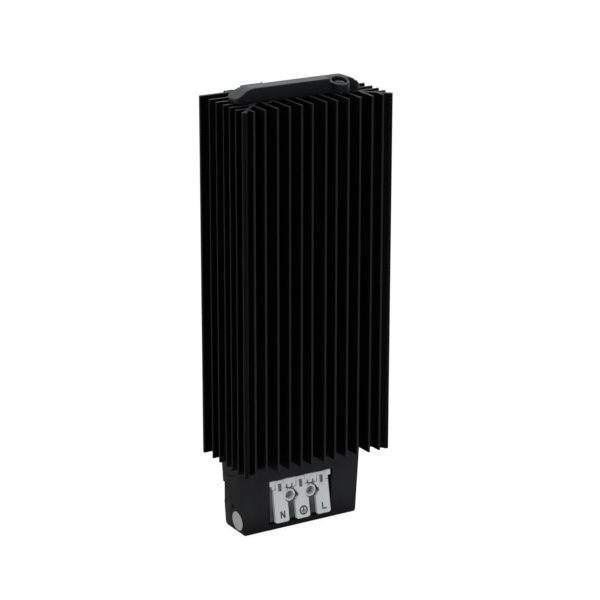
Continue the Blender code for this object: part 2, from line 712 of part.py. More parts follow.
def make_screw(name, seat, direction, length=SCREW_LENGTH):
    """A pan-head screw with a cross slot: its head sits on seat and its shank runs along direction."""
    way = Vector(direction).normalized()
    seat = Vector(seat)
    crown = seat - way * SCREW_HEAD_HEIGHT
    screw = rod(name, SCREW_CROWN_RADIUS, crown, seat, sides=20, end_radius=SCREW_HEAD_RADIUS)
    shank = rod(name + "_shank", SCREW_RADIUS, seat - way * SINK, seat + way * length, cutters, 14)
    join(screw, shank)
    for index in range(2):
        slot = box(f"{name}_slot_{index + 1}", (-CROSS_HALF, CROSS_HALF), around(0.0, CROSS_SLOT),
                   (-CROSS_DEPTH, CROSS_DEPTH), cutters)
        slot.location = crown
        slot.rotation_euler = way.to_track_quat("Z", "Y").to_euler()
        slot.rotation_euler.rotate_axis("Z", math.radians(90 * index))
        cut(screw, slot)
    return finish(screw, ZINC)


def make_cap_screws():
    z = CAP_BASE_Z + CAP_SCREW_FLOOR + SEAT_GAP
    make_screw("cap_screw_front", (PORT_X, FRONT_PORT_Y, z), (0, 0, -1))
    make_screw("cap_screw_rear", (-PORT_X, REAR_PORT_Y, z), (0, 0, -1))


def housing_half(drop):
    """Half of the housing's width at a distance below the profile."""
    return HOUSING_TOP_HALF - HOUSING_DRAFT * drop / HOUSING_HEIGHT


def tapered_block(name, inset, y, z, group):
    """A block that narrows downwards with the housing's draft, inset from its sides."""
    block = box(name, (-SIDE_X, SIDE_X), y, z, group)
    for vertex in block.data.vertices:
        level = z[1] if vertex.co.z > 0 else z[0]
        vertex.co.x = math.copysign(housing_half(BOTTOM_Z - level) - inset, vertex.co.x)
    return block


def housing_outside(name):
    """The whole outer form of the terminal housing, which the front shell and the cover share."""
    front = (CORE_FRONT_Y + HOUSING_FRONT_FOOT, HOUSING_BOTTOM_Z + HOUSING_FRONT_FOOT)
    rear = (HOUSING_REAR_Y - HOUSING_REAR_FOOT, HOUSING_BOTTOM_Z + HOUSING_REAR_FOOT)
    outline = [(CORE_FRONT_Y, HOUSING_TOP_Z)] + arc(front, HOUSING_FRONT_FOOT, 180, 270, 2)
    outline += arc(rear, HOUSING_REAR_FOOT, 270, 360, 3) + [(HOUSING_REAR_Y, HOUSING_TOP_Z)]
    form = recentre(prism(name, [outline], "X", -SIDE_X, SIDE_X), (0.0, 0.0, 0.0))
    for vertex in form.data.vertices:
        vertex.co.x = math.copysign(housing_half(BOTTOM_Z - vertex.co.z), vertex.co.x)
    # All the edges of the two sides are rounded, apart from those under the profile
    bm = bmesh.new()
    bm.from_mesh(form.data)
    bmesh.ops.dissolve_limit(bm, angle_limit=math.radians(1), verts=bm.verts, edges=bm.edges)
    rims = [e for e in bm.edges if e.verts[0].co.x * e.verts[1].co.x > 0
            and min(v.co.z for v in e.verts) < HOUSING_TOP_Z - CUT_PAST]
    bmesh.ops.bevel(bm, geom=rims, offset=HOUSING_EDGE, segments=2, profile=0.5, affect="EDGES")
    bmesh.ops.recalc_face_normals(bm, faces=bm.faces)
    bm.to_mesh(form.data)
    bm.free()
    return form


def housing_cavity(name):
    return tapered_block(name, HOUSING_WALL, (CORE_FRONT_Y + HOUSING_WALL, COVER_INNER_Y),
                         (HOUSING_FLOOR_Z, HOUSING_ROOF_Z), cutters)


def make_housing():
    """The front shell: a frame all round under the profile, and the front, sides and floor below it."""
    shell = housing_outside("terminal_housing")
    cover_space = box("cover_space", (-SIDE_X, SIDE_X), (COVER_FRONT_Y, HOUSING_REAR_Y + CUT_PAST),
                      (HOUSING_BOTTOM_Z - CUT_PAST, SEAM_Z), cutters)
    window = box("terminal_window", (-WINDOW_HALF, WINDOW_HALF),
                 (CORE_FRONT_Y - CUT_PAST, CORE_FRONT_Y + HOUSING_WALL + CUT_PAST),
                 (HOUSING_BOTTOM_Z + WINDOW_SILL, BOTTOM_Z - WINDOW_TOP), cutters)
    roof = (HOUSING_ROOF_Z - CUT_PAST, HOUSING_TOP_Z + CUT_PAST)
    pack_slot = box("pack_slot", (-CHANNEL_HALF, CHANNEL_HALF), (CHANNEL_FRONT_Y, CHANNEL_REAR_Y), roof,
                    cutters)
    earth_slot = box("earth_slot", (-EARTH_SLOT_LEFT, EARTH_SLOT_RIGHT),
                     (CHANNEL_REAR_Y - SINK, COVER_INNER_Y + SINK), roof, cutters)
    # A rib behind the window's sill, up to the block's floor
    rib_y = CORE_FRONT_Y + SILL_RIB_BACK
    sill_rib = box("sill_rib", (-BLOCK_HALF, BLOCK_HALF), (rib_y, rib_y + SILL_RIB_THICKNESS),
                   (HOUSING_FLOOR_Z - SINK, BLOCK_BOTTOM_Z - SEAT_GAP), cutters)
    cut(shell, housing_cavity("housing_cavity"), cover_space, window, pack_slot, earth_slot)
    join(shell, sill_rib)
    for tag, side in SIDES.items():
        x = side * PORT_X
        hole = rod("housing_screw_hole_" + tag, PORT_RADIUS, (x, REAR_PORT_Y, roof[0]),
                   (x, REAR_PORT_Y, roof[1]), cutters, 16)
        catch = box("catch_slot_" + tag, around(side * (HOUSING_TOP_HALF - HOUSING_WALL), CATCH_DEPTH),
                    around(COVER_FRONT_Y - CATCH_WIDTH, CATCH_WIDTH), around(CATCH_Z, CATCH_HEIGHT),
                    cutters)
        cut(shell, hole, catch)
    for tag, x in POLES.items():
        outline = rounded_rectangle(around(x, ENTRY_WIDTH), around(ENTRY_Y, ENTRY_DEPTH), ENTRY_CORNER)
        cut(shell, prism("entry_" + tag, [outline], "Z", HOUSING_BOTTOM_Z - CUT_PAST,
                         HOUSING_FLOOR_Z + CUT_PAST, cutters))
    return finish(shell, DARK_PLASTIC)


def make_cover():
    """The rear cover: the lower back of the housing, with two ribs behind the block and two snap arms."""
    cover = housing_outside("housing_rear_cover")
    keep = box("cover_keep", (-SIDE_X, SIDE_X), (COVER_FRONT_Y + SEAT_GAP, HOUSING_REAR_Y + CUT_PAST),
               (HOUSING_BOTTOM_Z - CUT_PAST, SEAM_Z - SEAT_GAP), cutters)
    combine(cover, "INTERSECT", keep)
    cut(cover, housing_cavity("cover_cavity"))
    inner_x = housing_half(CATCH_DROP) - HOUSING_WALL - RUNNING_GAP
    arm_front_y = COVER_FRONT_Y - SNAP_ARM_REACH
    for tag, side in SIDES.items():
        rib = box("block_rib_" + tag, around(side * POLE_PITCH / 2, BLOCK_RIB_THICKNESS),
                  (BLOCK_REAR_Y + SEAT_GAP, COVER_INNER_Y + SINK),
                  (BLOCK_BOTTOM_Z + BLOCK_RIB_INSET, BLOCK_TOP_Z - BLOCK_RIB_INSET), cutters)
        arm_x = side * (inner_x - SNAP_ARM_THICKNESS / 2)
        arm = box("snap_arm_" + tag, around(arm_x, SNAP_ARM_THICKNESS), (arm_front_y, COVER_INNER_Y + SINK),
                  around(CATCH_Z, SNAP_ARM_HEIGHT), cutters)
        nib_x = sorted((side * (inner_x - SINK), side * (inner_x + SNAP_NIB_OUT)))
        nib = box("snap_nib_" + tag, nib_x, (arm_front_y, COVER_FRONT_Y - SNAP_NIB_START),
                  around(CATCH_Z, SNAP_NIB_HEIGHT), cutters)
        join(cover, rib, arm, nib)
    return finish(cover, DARK_PLASTIC)


def make_housing_screws():
    for tag, side in SIDES.items():
        make_screw("housing_screw_" + tag, (side * PORT_X, REAR_PORT_Y, SCREW_SEAT_Z), (0, 0, 1))


def make_block():
    """The moulded body of the three-pole terminal block."""
    body = box("terminal_block", (-BLOCK_HALF, BLOCK_HALF), (FACE_Y, BLOCK_REAR_Y),
               (BLOCK_BOTTOM_Z, BLOCK_TOP_Z))
    beam = box("block_beam", (-BLOCK_HALF, BLOCK_HALF), (CORE_FRONT_Y, FACE_Y + SINK),
               (BEAM_BOTTOM_Z, BLOCK_TOP_Z), cutters)
    ear_half = BLOCK_HALF + EAR_REACH
    ears = box("block_ears", (-ear_half, ear_half), (CORE_FRONT_Y, FACE_Y + SINK),
               (BLOCK_TOP_Z - EAR_HEIGHT, BLOCK_TOP_Z), cutters)
    flange_half = BLOCK_HALF + FLANGE_REACH
    flange = box("block_flange", (-flange_half, flange_half),
                 (FLANGE_FRONT_Y, FLANGE_FRONT_Y + FLANGE_THICKNESS), (BLOCK_BOTTOM_Z, BEAM_BOTTOM_Z),
                 cutters)
    join(body, beam, ears, flange)
    ring_z = BOTTOM_Z - RING_DROP
    for tag, side in SIDES.items():
        x = side * POLE_PITCH / 2
        join(body, rod("ring_" + tag, RING_RADIUS, (x, CORE_FRONT_Y - RING_PROUD, ring_z),
                       (x, FACE_Y + SINK, ring_z), cutters))
    for tag, side in SIDES.items():
        x = side * POLE_PITCH / 2
        cut(body, rod("ring_hole_" + tag, RING_HOLE_RADIUS, (x, CORE_FRONT_Y - CUT_PAST, ring_z),
                      (x, CORE_FRONT_Y + RING_HOLE_DEPTH, ring_z), cutters, 20))
    for tag, x in POLES.items():
        cut_pole(body, tag, x)
    return finish(body, BLOCK_PLASTIC)


def cut_pole(body, tag, x):
    """The spaces of one pole: the lever's slot and pivot, the contact's cavity and the wire's funnel."""
    slot = box("lever_slot_" + tag, around(x, 2 * (LEVER_TONGUE_HALF + RUNNING_GAP)),
               (CORE_FRONT_Y - CUT_PAST, CAVITY_FRONT_Y + SINK),
               (BEAM_BOTTOM_Z - LEVER_SLOT_DROP, BLOCK_TOP_Z + CUT_PAST), cutters)
    reach = LEVER_TONGUE_HALF + TRUNNION_REACH + SEAT_GAP
    pivot = rod("trunnion_hole_" + tag, TRUNNION_RADIUS + RUNNING_GAP / 2, (x - reach, PIVOT_Y, PIVOT_Z),
                (x + reach, PIVOT_Y, PIVOT_Z), cutters, 16)
    cavity = box("contact_cavity_" + tag, around(x, 2 * CAVITY_HALF),
                 (CAVITY_FRONT_Y, BLOCK_REAR_Y + CUT_PAST),
                 (BLOCK_BOTTOM_Z + BLOCK_FLOOR, BLOCK_TOP_Z - BLOCK_ROOF), cutters)
    way = box("contact_way_" + tag, around(x, TAB_WIDTH + 2 * SEAT_GAP), around(BAR_Y, BAR_WAY),
              (BLOCK_TOP_Z - BLOCK_ROOF - CUT_PAST, BLOCK_TOP_Z + CUT_PAST), cutters)
    funnel = rod("funnel_" + tag, FUNNEL_RADIUS, (x, ENTRY_Y, BLOCK_BOTTOM_Z - CUT_PAST),
                 (x, ENTRY_Y, BLOCK_BOTTOM_Z + BLOCK_FLOOR + CUT_PAST), cutters, 20)
    mouth = rod("funnel_mouth_" + tag, FUNNEL_RADIUS + FUNNEL_FLARE, (x, ENTRY_Y, BLOCK_BOTTOM_Z - SEAT_GAP),
                (x, ENTRY_Y, BLOCK_BOTTOM_Z + FUNNEL_FLARE_DEPTH), cutters, 20, FUNNEL_RADIUS)
    cut(body, slot, pivot, cavity, way, funnel, mouth)


def lever_outline(rings):
    """A push lever seen from the front, in its own plane, with a hollow beside each ring of the block."""
    z_step = -(BEAM_BOTTOM + SEAT_GAP)
    hollow = RING_RADIUS + RUNNING_GAP
    offset = POLE_PITCH / 2
    rise = math.degrees(math.acos((offset - LEVER_HALF) / hollow))

    def flank(side):
        """From the top of one flank down to its bottom corner."""
        points = [(side * LEVER_HALF, z_step)]
        if side in rings:
            bow = arc((0.0, -RING_DROP), hollow, rise, -rise, 8)
            points += [(side * (offset - x), z) for x, z in bow]
        return points

    foot = arc((LEVER_HALF - LEVER_CORNER, -LEVER_BOTTOM + LEVER_CORNER), LEVER_CORNER, 0, -90, 3)
    tongue = [(-LEVER_TONGUE_HALF, z_step), (-LEVER_TONGUE_HALF, -LEVER_TOP),
              (LEVER_TONGUE_HALF, -LEVER_TOP), (LEVER_TONGUE_HALF, z_step)]
    return flank(1) + mirrored(foot) + flank(-1)[::-1] + tongue


def make_lever(tag, x):
    """One push lever: a tilted plate on a barrel with two trunnions, and a toe that lifts the clamp."""
    rings = [side for side in (-1, 1) if abs(x + side * POLE_PITCH / 2) < POLE_PITCH]
    window = rounded_rectangle(around(0.0, LEVER_WINDOW_WIDTH),
                               (-LEVER_WINDOW_DROP - LEVER_WINDOW_HEIGHT, -LEVER_WINDOW_DROP),
                               LEVER_WINDOW_CORNER, 1)
    name = "push_lever_" + tag
    lever = prism(name, [lever_outline(rings), window], "Y", 0.0, LEVER_THICKNESS)
    # The plate tilts about its front face, beside the pivot
    bend = Matrix.Translation((0.0, 0.0, -PIVOT_DROP))
    tilt = bend @ Matrix.Rotation(-LEVER_TILT, 4, "X") @ bend.inverted()
    place = Matrix.Translation((x, CORE_FRONT_Y - LEVER_PROUD, BOTTOM_Z))
    lever.matrix_world = place @ tilt @ lever.matrix_world
    recentre(lever, (x, PIVOT_Y, PIVOT_Z))
    half = LEVER_TONGUE_HALF
    barrel = rod(name + "_barrel", BARREL_RADIUS, (x - half, PIVOT_Y, PIVOT_Z), (x + half, PIVOT_Y, PIVOT_Z),
                 cutters, 20)
    reach = half + TRUNNION_REACH
    pin = rod(name + "_trunnions", TRUNNION_RADIUS, (x - reach, PIVOT_Y, PIVOT_Z),
              (x + reach, PIVOT_Y, PIVOT_Z), cutters, 16)
    toe = box(name + "_toe", around(x, TOE_WIDTH), (PIVOT_Y, PIVOT_Y + TOE_REACH),
              (PIVOT_Z - TOE_HEIGHT, PIVOT_Z), cutters)
    join(lever, barrel, pin, toe, solver="MANIFOLD")
    return finish(lever, LEVER_PLASTIC)


def strip_outline(points, thickness):
    """The outline of a bent strip that follows points."""
    points = [Vector(p) for p in points]
    steps = [(b - a).normalized() for a, b in zip(points, points[1:])]
    left, right = [], []
    for i, point in enumerate(points):
        before = steps[max(i - 1, 0)]
        after = steps[min(i, len(steps) - 1)]
        way = (before + after).normalized()
        normal = Vector((-way.y, way.x))
        reach = thickness / 2 / normal.dot(Vector((-after.y, after.x)))
        left.append(tuple(point + normal * reach))
        right.append(tuple(point - normal * reach))
    return left + right[::-1]


def make_contacts():
    """A contact bar and a clamp spring for each pole."""
    front = CAVITY_FRONT_Y + LEAF_FRONT_GAP
    floor_z = BLOCK_BOTTOM_Z + BLOCK_FLOOR
    space = PIVOT_Z - TOE_HEIGHT - floor_z
    radius = space * LEAF_BEND_SHARE
    leaf = [(front, floor_z + space * LEAF_FOOT_SHARE)]
    leaf += arc((front + radius, floor_z + space * LEAF_TOP_SHARE - radius), radius, 180, 30, 6)
    leaf += [(front + LEAF_REACH, floor_z + space * LEAF_END_SHARE)]
    outline = strip_outline(leaf, LEAF_THICKNESS)
    for tag, x in POLES.items():
        bar = box("contact_bar_" + tag, around(x, TAB_WIDTH), around(BAR_Y, BAR_THICKNESS),
                  (BLOCK_BOTTOM_Z + BAR_FOOT, BAR_TOP_Z))
        finish(bar, BRASS, smooth=False)
        spring = prism("clamp_spring_" + tag, [outline], "X", x - LEAF_WIDTH / 2, x + LEAF_WIDTH / 2)
        finish(spring, SPRING_STEEL)


def electrode_outline(side, half, low, high):
    """A contact plate with a tab that hangs down at one side, into the housing."""
    tab = sorted((side * (POLE_PITCH - TAB_WIDTH / 2), side * min(half, POLE_PITCH + TAB_WIDTH / 2)))
    foot = BOTTOM_Z - TAB_DROP
    points = [(-half, high), (-half, low), (tab[0], low), (tab[0], foot),
              (tab[1], foot), (tab[1], low), (half, low), (half, high)]
    if tab[0] <= -half:
        return points[:1] + points[3:]
    if tab[1] >= half:
        return points[:5] + points[7:]
    return points


def make_heating_pack():
    """Insulating film, electrode plates, heating elements and the plate that clamps them in the channel."""
    film_front = CHANNEL_FRONT_Y + PACK_SEAT
    inner_front = film_front + FILM_THICKNESS
    front_plate_y = inner_front + PACK_GAP
    element_y = front_plate_y + ELECTRODE_THICKNESS + PACK_GAP
    rear_plate_y = element_y + ELEMENT_THICKNESS + PACK_GAP
    inner_rear = rear_plate_y + ELECTRODE_THICKNESS + PACK_GAP
    film_rear = inner_rear + FILM_THICKNESS
    film_half = CHANNEL_HALF - FILM_SIDE_GAP
    inner_half = film_half - FILM_THICKNESS
    outer = rounded_rectangle((-film_half, film_half), (film_front, film_rear), FILM_CORNER, 2)
    inner = rounded_rectangle((-inner_half, inner_half), (inner_front, inner_rear),
                              FILM_CORNER - FILM_THICKNESS, 2)
    high = TOP_Z - PACK_END_GAP
    low = BOTTOM_Z + PACK_END_GAP / 2
    finish(prism("insulating_film", [outer, inner], "Z", BOTTOM_Z - FILM_DROP, high + FILM_RISE), FILM)
    plate_half = CHANNEL_HALF - ELECTRODE_SIDE_GAP
    for name, y, side in (("electrode_front", front_plate_y, 1), ("electrode_rear", rear_plate_y, -1)):
        outline = electrode_outline(side, plate_half, low, high)
        finish(prism(name, [outline], "Y", y, y + ELECTRODE_THICKNESS), PLATE_ALUMINIUM, smooth=False)
    element_half = CHANNEL_HALF - ELEMENT_SIDE_GAP
    pitch = (high - low) / ELEMENT_COUNT
    for i in range(ELEMENT_COUNT):
        element = box(f"heating_element_{i + 1}", (-element_half, element_half),
                      (element_y, element_y + ELEMENT_THICKNESS),
                      around(low + pitch * (i + 0.5), ELEMENT_LENGTH))
        finish(element, CERAMIC, smooth=False)
    clamp_y = film_rear + PACK_SEAT
    clamp = box("clamp_plate", (-film_half, film_half), (clamp_y, clamp_y + CLAMP_THICKNESS), (low, high))
    finish(clamp, PLATE_ALUMINIUM, smooth=False)
    return front_plate_y + ELECTRODE_THICKNESS / 2, rear_plate_y + ELECTRODE_THICKNESS / 2


def smooth_route(points, count):
    """Points along a smooth curve through the route's own points."""
    points = [Vector(p) for p in points]
    padded = [points[0] * 2 - points[1]] + points + [points[-1] * 2 - points[-2]]
    route = []
    for i in range(len(points) - 1):
        a, b, c, d = padded[i:i + 4]
        for step in range(count):
            t = step / count
            route.append(0.5 * ((2 * b) + (c - a) * t + (2 * a - 5 * b + 4 * c - d) * t ** 2
                                + (3 * b - 3 * c + d - a) * t ** 3))
    return route + [points[-1]]


def tube(name, points, radius, mat, sides_level=2):
    """A wire with filled ends along points."""
    curve = bpy.data.curves.new(name, "CURVE")
    curve.dimensions = "3D"
    curve.bevel_depth = radius
    curve.bevel_resolution = sides_level
    curve.use_fill_caps = True
    spline = curve.splines.new("POLY")
    spline.points.add(len(points) - 1)
    for target, point in zip(spline.points, points):
        target.co = (*point, 1.0)
    return finish(solid_from_curve(name, curve, Matrix.Identity(4)), mat)


def make_leads(front_tab_y, rear_tab_y):
    """The live and neutral leads, from the electrodes' tabs to the contact bars."""
    start_z = BOTTOM_Z - TAB_DROP - SEAT_GAP
    end_z = BAR_TOP_Z + SEAT_GAP
    for name, x, y, mat in (("live_wire", POLE_PITCH, front_tab_y, LIVE_JACKET),
                            ("neutral_wire", -POLE_PITCH, rear_tab_y, NEUTRAL_JACKET)):
        out = math.copysign(LEAD_BOW, x)
        points = [(x, y, start_z),
                  (x + out * 0.3, y, start_z - LEAD_DIP * 0.8),
                  (x + out, y + LEAD_DIP * 0.75, start_z - LEAD_DIP),
                  (x + out * 1.3, (y + BAR_Y) / 2 + LEAD_DIP * 0.6, start_z - LEAD_DIP / 4),
                  (x + out, BAR_Y - LEAD_DIP * 0.4, start_z + LEAD_DIP / 4),
                  (x + out * 0.35, BAR_Y, end_z + LEAD_RISE),
                  (x, BAR_Y, end_z + LEAD_RISE * 0.4),
                  (x, BAR_Y, end_z)]
        tube(name, smooth_route(points, 2), WIRE_RADIUS, mat)


def make_earth_lead():
    """The earth lug on the profile's end, its screw, and the lead down to the middle contact bar."""
    center = (0.0, EARTH_PORT_Y)
    low = LUG_TOP_Z - LUG_THICKNESS
    outlines = [circle(center, LUG_RADIUS, 20), circle(center, PORT_RADIUS, 14)]
    lug = prism("earth_lug", outlines, "Z", low, LUG_TOP_Z)
    arm_y = around(EARTH_PORT_Y, 2 * LUG_ARM_HALF)
    arm = box("lug_arm", (-LUG_ARM, SINK - LUG_RADIUS), arm_y, (low, LUG_TOP_Z), cutters)
    drop = box("lug_drop", (-LUG_ARM, LUG_THICKNESS - LUG_ARM), arm_y,
               (LUG_TOP_Z - LUG_DROP, LUG_TOP_Z), cutters)
    join(lug, arm, drop)
    finish(lug, BRASS, smooth=False)
    make_screw("earth_screw", (*center, low - SEAT_GAP / 2), (0, 0, 1), EARTH_SCREW_LENGTH)
    x = LUG_THICKNESS / 2 - LUG_ARM
    start_z = LUG_TOP_Z - LUG_DROP - SEAT_GAP
    end_z = BAR_TOP_Z + SEAT_GAP
    points = [(x, EARTH_PORT_Y, start_z),
              (x + LEAD_DIP * 0.1, EARTH_PORT_Y, start_z - LEAD_DIP * 0.6),
              (x + LEAD_DIP, EARTH_PORT_Y, start_z - LEAD_DIP),
              (x * 0.4, EARTH_PORT_Y, start_z - LEAD_DIP),
              (x * 0.1, BAR_Y, end_z + LEAD_RISE * 0.5),
              (0.0, BAR_Y, end_z)]
    tube("earth_wire", smooth_route(points, 3), WIRE_RADIUS, EARTH_JACKET)


def hook_outline(edge_z, sign, thickness):
    """A rail hook seen from the side: a post with a lip that turns in over the rail's edge."""
    lip = edge_z - sign * HOOK_LIP
    outer = edge_z + sign * thickness
    nose = sign * HOOK_NOSE
    return [(-HOOK_ROOT, outer), (HOOK_DEPTH - HOOK_NOSE, outer), (HOOK_DEPTH, outer - nose),
            (HOOK_DEPTH, lip + nose), (HOOK_SLOT + HOOK_LEAD, lip), (HOOK_SLOT, lip),
            (HOOK_SLOT, edge_z), (-HOOK_ROOT, edge_z)]


def make_clip():
    """The fixed part of the rail clip: a plate in the profile's groove, a body and the upper hook."""
    height = (CLIP_FOOT_Z, -CLIP_FOOT_Z)
    front_y = REAR_Y + SEAT_GAP
    clip = box("rail_clip_base", (-CLIP_HALF, CLIP_HALF), (front_y, 0.0), height)
    flange_half = GROOVE_HALF - RUNNING_GAP
    flange = box("clip_flange", (-flange_half, flange_half), (front_y, front_y + CLIP_FLANGE), height,
                 cutters)
    hook = prism("upper_hook", [hook_outline(RAIL_EDGE, 1, HOOK_THICKNESS)], "X", -CLIP_HALF, CLIP_HALF,
                 cutters)
    join(clip, flange, hook)
    channel_z = (CLIP_FOOT_Z - CUT_PAST, LATCH_TOP_Z + RUNNING_GAP)
    channel_floor_y = -LATCH_DEPTH - RUNNING_GAP * 2
    channel = box("latch_channel", around(0.0, 2 * (LATCH_HALF + RUNNING_GAP)), (channel_floor_y, CUT_PAST),
                  channel_z, cutters)
    grooves = box("latch_grooves", around(0.0, 2 * (LATCH_HALF + LATCH_RUNNER + RUNNING_GAP)),
                  around(RUNNER_Y, LATCH_RUNNER_DEPTH + 2 * RUNNING_GAP), channel_z, cutters)
    cut(clip, channel, grooves)
    for tag, side in SIDES.items():
        x = side * CLIP_SCREW_X
        recess = rod("clip_head_recess_" + tag, SCREW_HEAD_RADIUS + RUNNING_GAP, (x, -CLIP_RECESS, 0),
                     (x, CUT_PAST, 0), cutters, 20)
        hole = rod("clip_shank_hole_" + tag, PORT_RADIUS, (x, REAR_Y - CUT_PAST, 0), (x, CUT_PAST, 0),
                   cutters, 16)
        cut(clip, recess, hole)
        for row, place in (("upper", POCKET_PLACE), ("lower", -POCKET_PLACE)):
            outline = rounded_rectangle(around(x, 2 * POCKET_HALF), around(place, POCKET_HEIGHT),
                                        POCKET_CORNER, 2)
            cut(clip, prism(f"pocket_{row}_{tag}", [outline], "Y", -CLIP_RECESS, CUT_PAST, cutters))
    peg = box("spring_peg", (-PEG_HALF, PEG_HALF), (channel_floor_y - SINK, -RUNNING_GAP * 2),
              (CLIP_FOOT_Z, CLIP_FOOT_Z + PEG_HEIGHT), cutters)
    join(clip, peg)
    return finish(clip, CLIP_PLASTIC)


def make_latch():
    """The sprung latch that slides down to let go of the rail's lower edge."""
    height = (LATCH_FOOT_Z, LATCH_TOP_Z)
    latch = box("rail_clip_latch", (-LATCH_HALF, LATCH_HALF), (-LATCH_DEPTH, -RUNNING_GAP), height)
    runner = box("latch_runner", around(0.0, 2 * (LATCH_HALF + LATCH_RUNNER)),
                 around(RUNNER_Y, LATCH_RUNNER_DEPTH), height, cutters)
    nose = prism("latch_nose", [hook_outline(-RAIL_EDGE, -1, LATCH_NOSE)], "X", -LATCH_HALF, LATCH_HALF,
                 cutters)
    tab_foot = LATCH_FOOT_Z - LATCH_TAB
    tab = box("latch_tab", (-LATCH_TAB_HALF, LATCH_TAB_HALF), (-LATCH_DEPTH, -LATCH_TAB_BACK),
              (tab_foot, LATCH_FOOT_Z + SINK), cutters)
    join(latch, runner, nose, tab)
    # The window stops just short of the nose, which stays whole over it
    through_y = (-LATCH_DEPTH - CUT_PAST, WINDOW_BACK_Y)
    window = box("latch_window", (-LATCH_WINDOW_HALF, LATCH_WINDOW_HALF), through_y,
                 (CLIP_FOOT_Z - LATCH_WINDOW_BELOW, LATCH_WINDOW_TOP_Z), cutters)
    slot_top = LATCH_FOOT_Z - TAB_SLOT_DROP
    slot = box("tab_slot", (-TAB_SLOT_HALF, TAB_SLOT_HALF), through_y,
               (slot_top - TAB_SLOT_HEIGHT, slot_top), cutters)
    cut(latch, window, slot)
    return finish(latch, CLIP_PLASTIC)


def make_latch_spring():
    """The coil in the latch's window, between the base's peg and the window's top."""
    y = (-LATCH_DEPTH - RUNNING_GAP) / 2
    low = CLIP_FOOT_Z + PEG_HEIGHT + SEAT_GAP + SPRING_WIRE
    high = LATCH_WINDOW_TOP_Z - SEAT_GAP - SPRING_WIRE
    count = SPRING_TURNS * SPRING_STEPS
    points = []
    for i in range(count + 1):
        angle = math.tau * i / SPRING_STEPS
        points.append((SPRING_RADIUS * math.cos(angle), y + SPRING_RADIUS * math.sin(angle),
                       low + (high - low) * i / count))
    tube("latch_spring", points, SPRING_WIRE, SPRING_STEEL, 1)


def make_clip_screws():
    for tag, side in SIDES.items():
        seat = (side * CLIP_SCREW_X, SEAT_GAP - CLIP_RECESS, 0)
        make_screw("clip_screw_" + tag, seat, (0, -1, 0), CLIP_SCREW_LENGTH)


def make_sticker():
    """A small round sticker on the housing's left side, left bare."""
    lean = math.atan2(HOUSING_DRAFT, HOUSING_HEIGHT)
    out = Vector((-math.cos(lean), 0.0, -math.sin(lean)))
    place = Vector((-housing_half(HOUSING_HEIGHT - STICKER_RISE), CORE_FRONT_Y + STICKER_BACK,
                    HOUSING_BOTTOM_Z + STICKER_RISE))
    base = place + out * STICKER_SEAT
    sticker = rod("inspection_sticker", STICKER_RADIUS, base, base + out * STICKER_THICKNESS, sides=32)
    finish(sticker, LABEL)


def main():
    clear_scene()
    make_profile()
    make_cap()
    make_cap_screws()
    make_housing()
    make_cover()
    make_housing_screws()
    make_block()
    for tag, x in POLES.items():
        make_lever(tag, x)
    make_contacts()
    make_leads(*make_heating_pack())
    make_earth_lead()
    make_clip()
    make_latch()
    make_latch_spring()
    make_clip_screws()
    make_sticker()


main()
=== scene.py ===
"""Looks of the enclosure heater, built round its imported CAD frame.

Lengths are in metres, in the row frame.
"""

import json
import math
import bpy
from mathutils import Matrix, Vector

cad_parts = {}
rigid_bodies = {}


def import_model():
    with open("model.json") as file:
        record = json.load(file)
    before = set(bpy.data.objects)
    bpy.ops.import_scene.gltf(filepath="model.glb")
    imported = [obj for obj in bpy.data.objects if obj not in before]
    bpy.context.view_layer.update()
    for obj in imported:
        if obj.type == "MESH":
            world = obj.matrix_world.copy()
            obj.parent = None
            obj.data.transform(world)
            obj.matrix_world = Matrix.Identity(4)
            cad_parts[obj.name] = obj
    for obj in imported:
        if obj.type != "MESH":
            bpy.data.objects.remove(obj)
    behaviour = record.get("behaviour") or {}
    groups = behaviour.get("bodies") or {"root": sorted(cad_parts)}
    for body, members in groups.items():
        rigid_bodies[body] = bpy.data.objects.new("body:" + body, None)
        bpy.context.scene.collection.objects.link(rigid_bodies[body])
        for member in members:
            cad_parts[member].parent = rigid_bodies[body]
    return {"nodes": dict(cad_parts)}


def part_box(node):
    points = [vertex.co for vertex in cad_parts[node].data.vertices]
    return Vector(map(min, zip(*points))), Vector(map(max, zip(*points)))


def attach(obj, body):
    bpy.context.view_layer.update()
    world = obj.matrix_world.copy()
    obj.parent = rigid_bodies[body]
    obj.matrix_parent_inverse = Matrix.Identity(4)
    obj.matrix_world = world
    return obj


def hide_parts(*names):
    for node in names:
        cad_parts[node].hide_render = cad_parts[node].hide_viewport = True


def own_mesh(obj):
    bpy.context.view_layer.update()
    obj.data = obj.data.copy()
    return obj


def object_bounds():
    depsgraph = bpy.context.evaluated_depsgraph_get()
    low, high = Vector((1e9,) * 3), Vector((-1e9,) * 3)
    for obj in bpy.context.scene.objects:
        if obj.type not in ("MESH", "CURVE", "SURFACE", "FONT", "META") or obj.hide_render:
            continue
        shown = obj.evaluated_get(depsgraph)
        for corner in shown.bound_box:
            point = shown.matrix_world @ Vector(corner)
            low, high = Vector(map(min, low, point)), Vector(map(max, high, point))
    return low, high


bl_info = {
    "name": "Enclosure heater",
    "version": (1, 0, 0),
    "blender": (4, 5, 0),
    "location": "3D View > Sidebar > Heater",
    "description": "Builds the visible pieces, the finishes and the stage of a finned enclosure heater",
    "category": "Object",
}

import bmesh
import bpy
from bpy.props import FloatProperty, FloatVectorProperty, IntProperty, PointerProperty
from mathutils import Matrix, Vector

for leftover in list(bpy.data.objects):
    bpy.data.objects.remove(leftover)
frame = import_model()
CAD_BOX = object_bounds()

